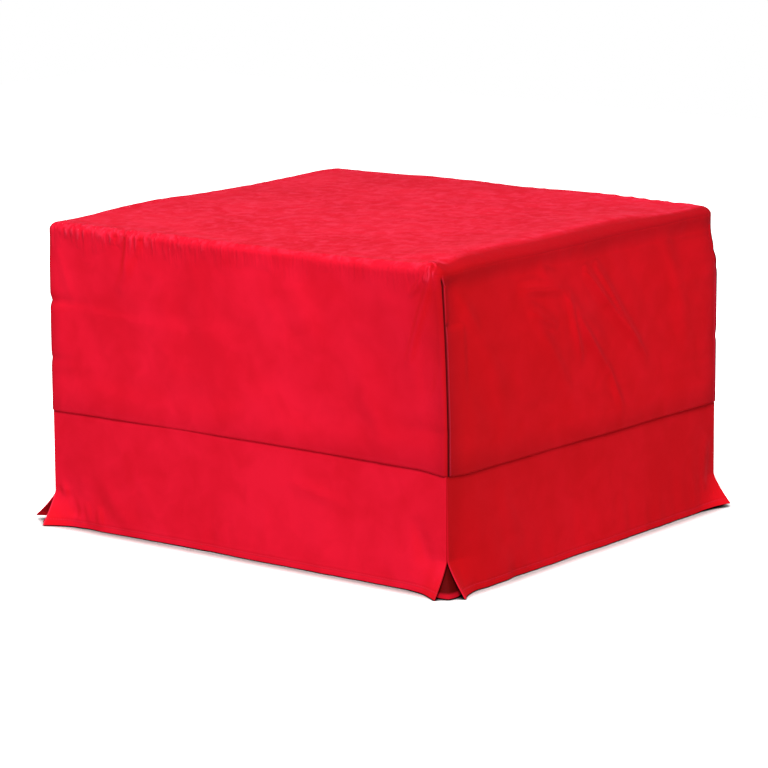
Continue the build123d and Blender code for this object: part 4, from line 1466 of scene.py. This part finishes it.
def build_birch(tree, shader):
    look = bpy.context.scene.guestbed_frame
    vector = object_vector(tree)
    rings = vector.stretched((1.4, 34.0, 34.0)).noise(3.2, 5.0, 0.62, 1.6)
    fibre = vector.stretched((14.0, 900.0, 900.0)).noise(1.0, 3.0, 0.6)
    board = vector.stretched((0.6, 9.5, 0.5)).noise(1.0, 0.0)
    colour = rings.ramp(0.34, 0.66).mix(tuple(look.birch_dark), tuple(look.birch_light))
    colour = fibre.ramp(0.45, 0.8, 0.0, 0.4).mix(colour, shaded(look.birch_dark, 0.72))
    pale = tuple(min(c * 1.12, 1) for c in look.birch_light)
    colour = board.ramp(0.3, 0.7, 0.0, 0.3).mix(colour, pale)
    normal = rings.bump(0.0003, 0.25, fibre.bump(0.00015, 0.5))
    coat(shader, colour, rings.ramp(0.3, 0.7, 0.52, 0.40), normal, Coat_Weight=0.12, Coat_Roughness=0.35)


def build_plastic(tree, shader):
    black = tuple(bpy.context.scene.guestbed_frame.plastic)
    marks = effect("Handling marks", tree, {"Vector": object_vector(tree)})
    colour = marks["Smudge"].ramp(0.4, 0.8).mix(black, shaded(black, 1.8))
    coat(shader, colour, marks["Smudge"].ramp(0.3, 0.7, 0.5, 0.66), marks["Speckle"].bump(0.00015, 0.6))


def build_rubber(tree, shader):
    black = tuple(bpy.context.scene.guestbed_frame.rubber)
    marks = effect("Handling marks", tree, {"Vector": object_vector(tree), "Speckle scale": 700.0})
    colour = marks["Smudge"].ramp(0.45, 0.8).mix(black, (0.075, 0.072, 0.068))
    coat(shader, colour, marks["Speckle"].ramp(0.3, 0.7, 0.74, 0.9), marks["Speckle"].bump(0.0002, 0.5))


def build_zinc(tree, shader):
    metal = tuple(bpy.context.scene.guestbed_frame.zinc)
    vector = object_vector(tree)
    marks = effect("Handling marks", tree, {"Vector": vector})
    spangle = vector.through("ShaderNodeTexVoronoi", (("Vector", vector), ("Scale", 650.0)), "Distance")
    colour = spangle.ramp(0.1, 0.7).mix(metal, shaded(metal, 0.78))
    coat(shader, colour, marks["Smudge"].ramp(0.3, 0.7, 0.24, 0.42), spangle.bump(0.0001, 0.4), Metallic=1.0)


FINISHES = (
    (("_slats",), "birch", build_birch),
    (("_slat_holders", "_rail_plugs"), "moulded_black", build_plastic),
    (("_feet",), "rubber", build_rubber),
    (("_rivets", "_pins"), "zinc", build_zinc),
)


class GUESTBED_OT_finishes(bpy.types.Operator):
    """Birch, plastic, rubber, zinc and powder coat on the frame's own parts"""

    bl_idname = "guestbed.finishes"
    bl_label = "Frame finishes"

    def execute(self, context):
        for name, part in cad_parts.items():
            if part.hide_render:
                continue
            finish, build = "grey_paint", build_paint
            for endings, word, maker in FINISHES:
                if name.endswith(endings):
                    finish, build = word, maker
            part.data.materials.clear()
            part.data.materials.append(material(finish, build))
        return {"FINISHED"}


# The lamp, and the floor's contact shadow: reach, how fast it fades, the white that it darkens
LAMP_PLACE, LAMP_SIZE = (2.92, -4.62, 5.51), 3.0
SHADOW_REACH, SHADOW_FADE, FLOOR_WHITE = 0.048, 3.6, 2.8
FLOOR_GREY = (0.35, 0.35, 0.35, 1)


class GUESTBED_OT_studio(bpy.types.Operator):
    """Pale floor, even light, one large soft lamp and the camera"""

    bl_idname = "guestbed.studio"
    bl_label = "Studio"

    def execute(self, context):
        sizes = context.scene.guestbed_studio
        scene = context.scene
        scene.view_settings.view_transform = "Standard"
        pick()
        bpy.ops.mesh.primitive_plane_add(size=8.0, location=(0, 0, -0.0005))
        floor = context.object
        floor.name = "studio_floor"
        floor.data.materials.append(self.floor_material())
        self.world(sizes.sky)
        self.lamp("key_light", LAMP_PLACE, LAMP_SIZE, sizes.key)
        self.camera(scene, sizes)
        return {"FINISHED"}

    def floor_material(self):
        """White to the camera with a soft contact shadow, grey to the light that it throws back."""
        made = bpy.data.materials.new("studio_floor")
        made.use_nodes = True
        tree = made.node_tree
        tree.nodes.remove(tree.nodes["Principled BSDF"])
        close = node(tree, "ShaderNodeAmbientOcclusion", samples=12)
        close.inputs["Distance"].default_value = SHADOW_REACH
        pale = results(close)["AO"].math("POWER", SHADOW_FADE) * FLOOR_WHITE
        white = pale.through("ShaderNodeCombineColor", ((0, pale), (1, pale), (2, pale)))
        seen = white.through("ShaderNodeBsdfDiffuse", (("Color", white),))
        unseen = node(tree, "ShaderNodeBsdfDiffuse")
        unseen.inputs["Color"].default_value = FLOOR_GREY
        self.choose(tree, Signal(unseen.outputs[0]), seen, tree.nodes["Material Output"])
        return made

    def choose(self, tree, unseen, seen, output):
        """One shader for the rays that show the backdrop, another for those that only light the object."""
        path = results(node(tree, "ShaderNodeLightPath"))
        looked_at = path["Is Camera Ray"].math("MAXIMUM", path["Is Transmission Ray"])
        looked_at = looked_at.math("MAXIMUM", path["Is Glossy Ray"])
        choice = looked_at.through("ShaderNodeMixShader", ((0, looked_at), (1, unseen), (2, seen)))
        feed(choice, output.inputs["Surface"])

    def world(self, strength):
        world = bpy.data.worlds.new("studio_sky")
        bpy.context.scene.world = world
        world.use_nodes = True
        tree = world.node_tree
        sky = tree.nodes["Background"]
        seen = node(tree, "ShaderNodeBackground")
        for made in (sky, seen):
            made.inputs["Color"].default_value = (1, 1, 1, 1)
        sky.inputs["Strength"].default_value = strength
        self.choose(tree, Signal(sky.outputs[0]), Signal(seen.outputs[0]), tree.nodes["World Output"])

    def lamp(self, name, place, size, power):
        light = bpy.data.lights.new(name, "AREA")
        light.shape = "DISK"
        light.size = size
        light.energy = power
        holder = bpy.data.objects.new(name, light)
        bpy.context.scene.collection.objects.link(holder)
        holder.location = place
        aim = Vector((0, 0, 0.2)) - Vector(place)
        holder.rotation_euler = aim.to_track_quat("-Z", "Y").to_euler()

    def camera(self, scene, sizes):
        lens = bpy.data.cameras.new("photo_camera")
        lens.lens = sizes.lens
        lens.sensor_width = 36.0
        lens.clip_start = 0.1
        lens.clip_end = 60.0
        holder = bpy.data.objects.new("photo_camera", lens)
        scene.collection.objects.link(holder)
        az, el = sizes.azimuth, sizes.elevation
        back = Vector((math.sin(az) * math.cos(el), -math.cos(az) * math.cos(el), math.sin(el)))
        holder.location = Vector(sizes.target) + back * sizes.distance
        turn = (-back).to_track_quat("-Z", "Y").to_matrix()
        right, up = turn.col[0].copy(), turn.col[1].copy()
        c, s = math.cos(sizes.roll), math.sin(sizes.roll)
        turn.col[0] = right * c + up * s
        turn.col[1] = up * c - right * s
        holder.rotation_euler = turn.to_euler()
        scene.camera = holder


class GUESTBED_PT_panel(bpy.types.Panel):
    bl_label = "Ottoman bed"
    bl_idname = "GUESTBED_PT_panel"
    bl_space_type = "VIEW_3D"
    bl_region_type = "UI"
    bl_category = "Ottoman"

    def draw(self, context):
        for step in STEPS:
            self.layout.operator(f"guestbed.{step}")


STEPS = (
    "studio", "cover_top", "cover_sides", "skirts", "corner_inserts", "mattress_blocks", "straps", "finishes",
)
SETTINGS = {
    "slipcover": SlipcoverSizes, "guestbed_cloth": ClothLook, "guestbed_frame": FrameLook,
    "guestbed_bed": BedSizes, "guestbed_studio": StudioSizes,
}
CLASSES = (
    *SETTINGS.values(), GUESTBED_OT_cover_top, GUESTBED_OT_cover_sides, GUESTBED_OT_skirts,
    GUESTBED_OT_corner_inserts, GUESTBED_OT_mattress_blocks, GUESTBED_OT_straps,
    GUESTBED_OT_finishes, GUESTBED_OT_studio, GUESTBED_PT_panel,
)


def register():
    for made in CLASSES:
        bpy.utils.register_class(made)
    for name, kind in SETTINGS.items():
        setattr(bpy.types.Scene, name, PointerProperty(type=kind))


def unregister():
    for name in SETTINGS:
        delattr(bpy.types.Scene, name)
    for made in reversed(CLASSES):
        bpy.utils.unregister_class(made)


def main():
    register()
    for step in STEPS:
        getattr(bpy.ops.guestbed, step)()


if __name__ == "__main__":
    main()
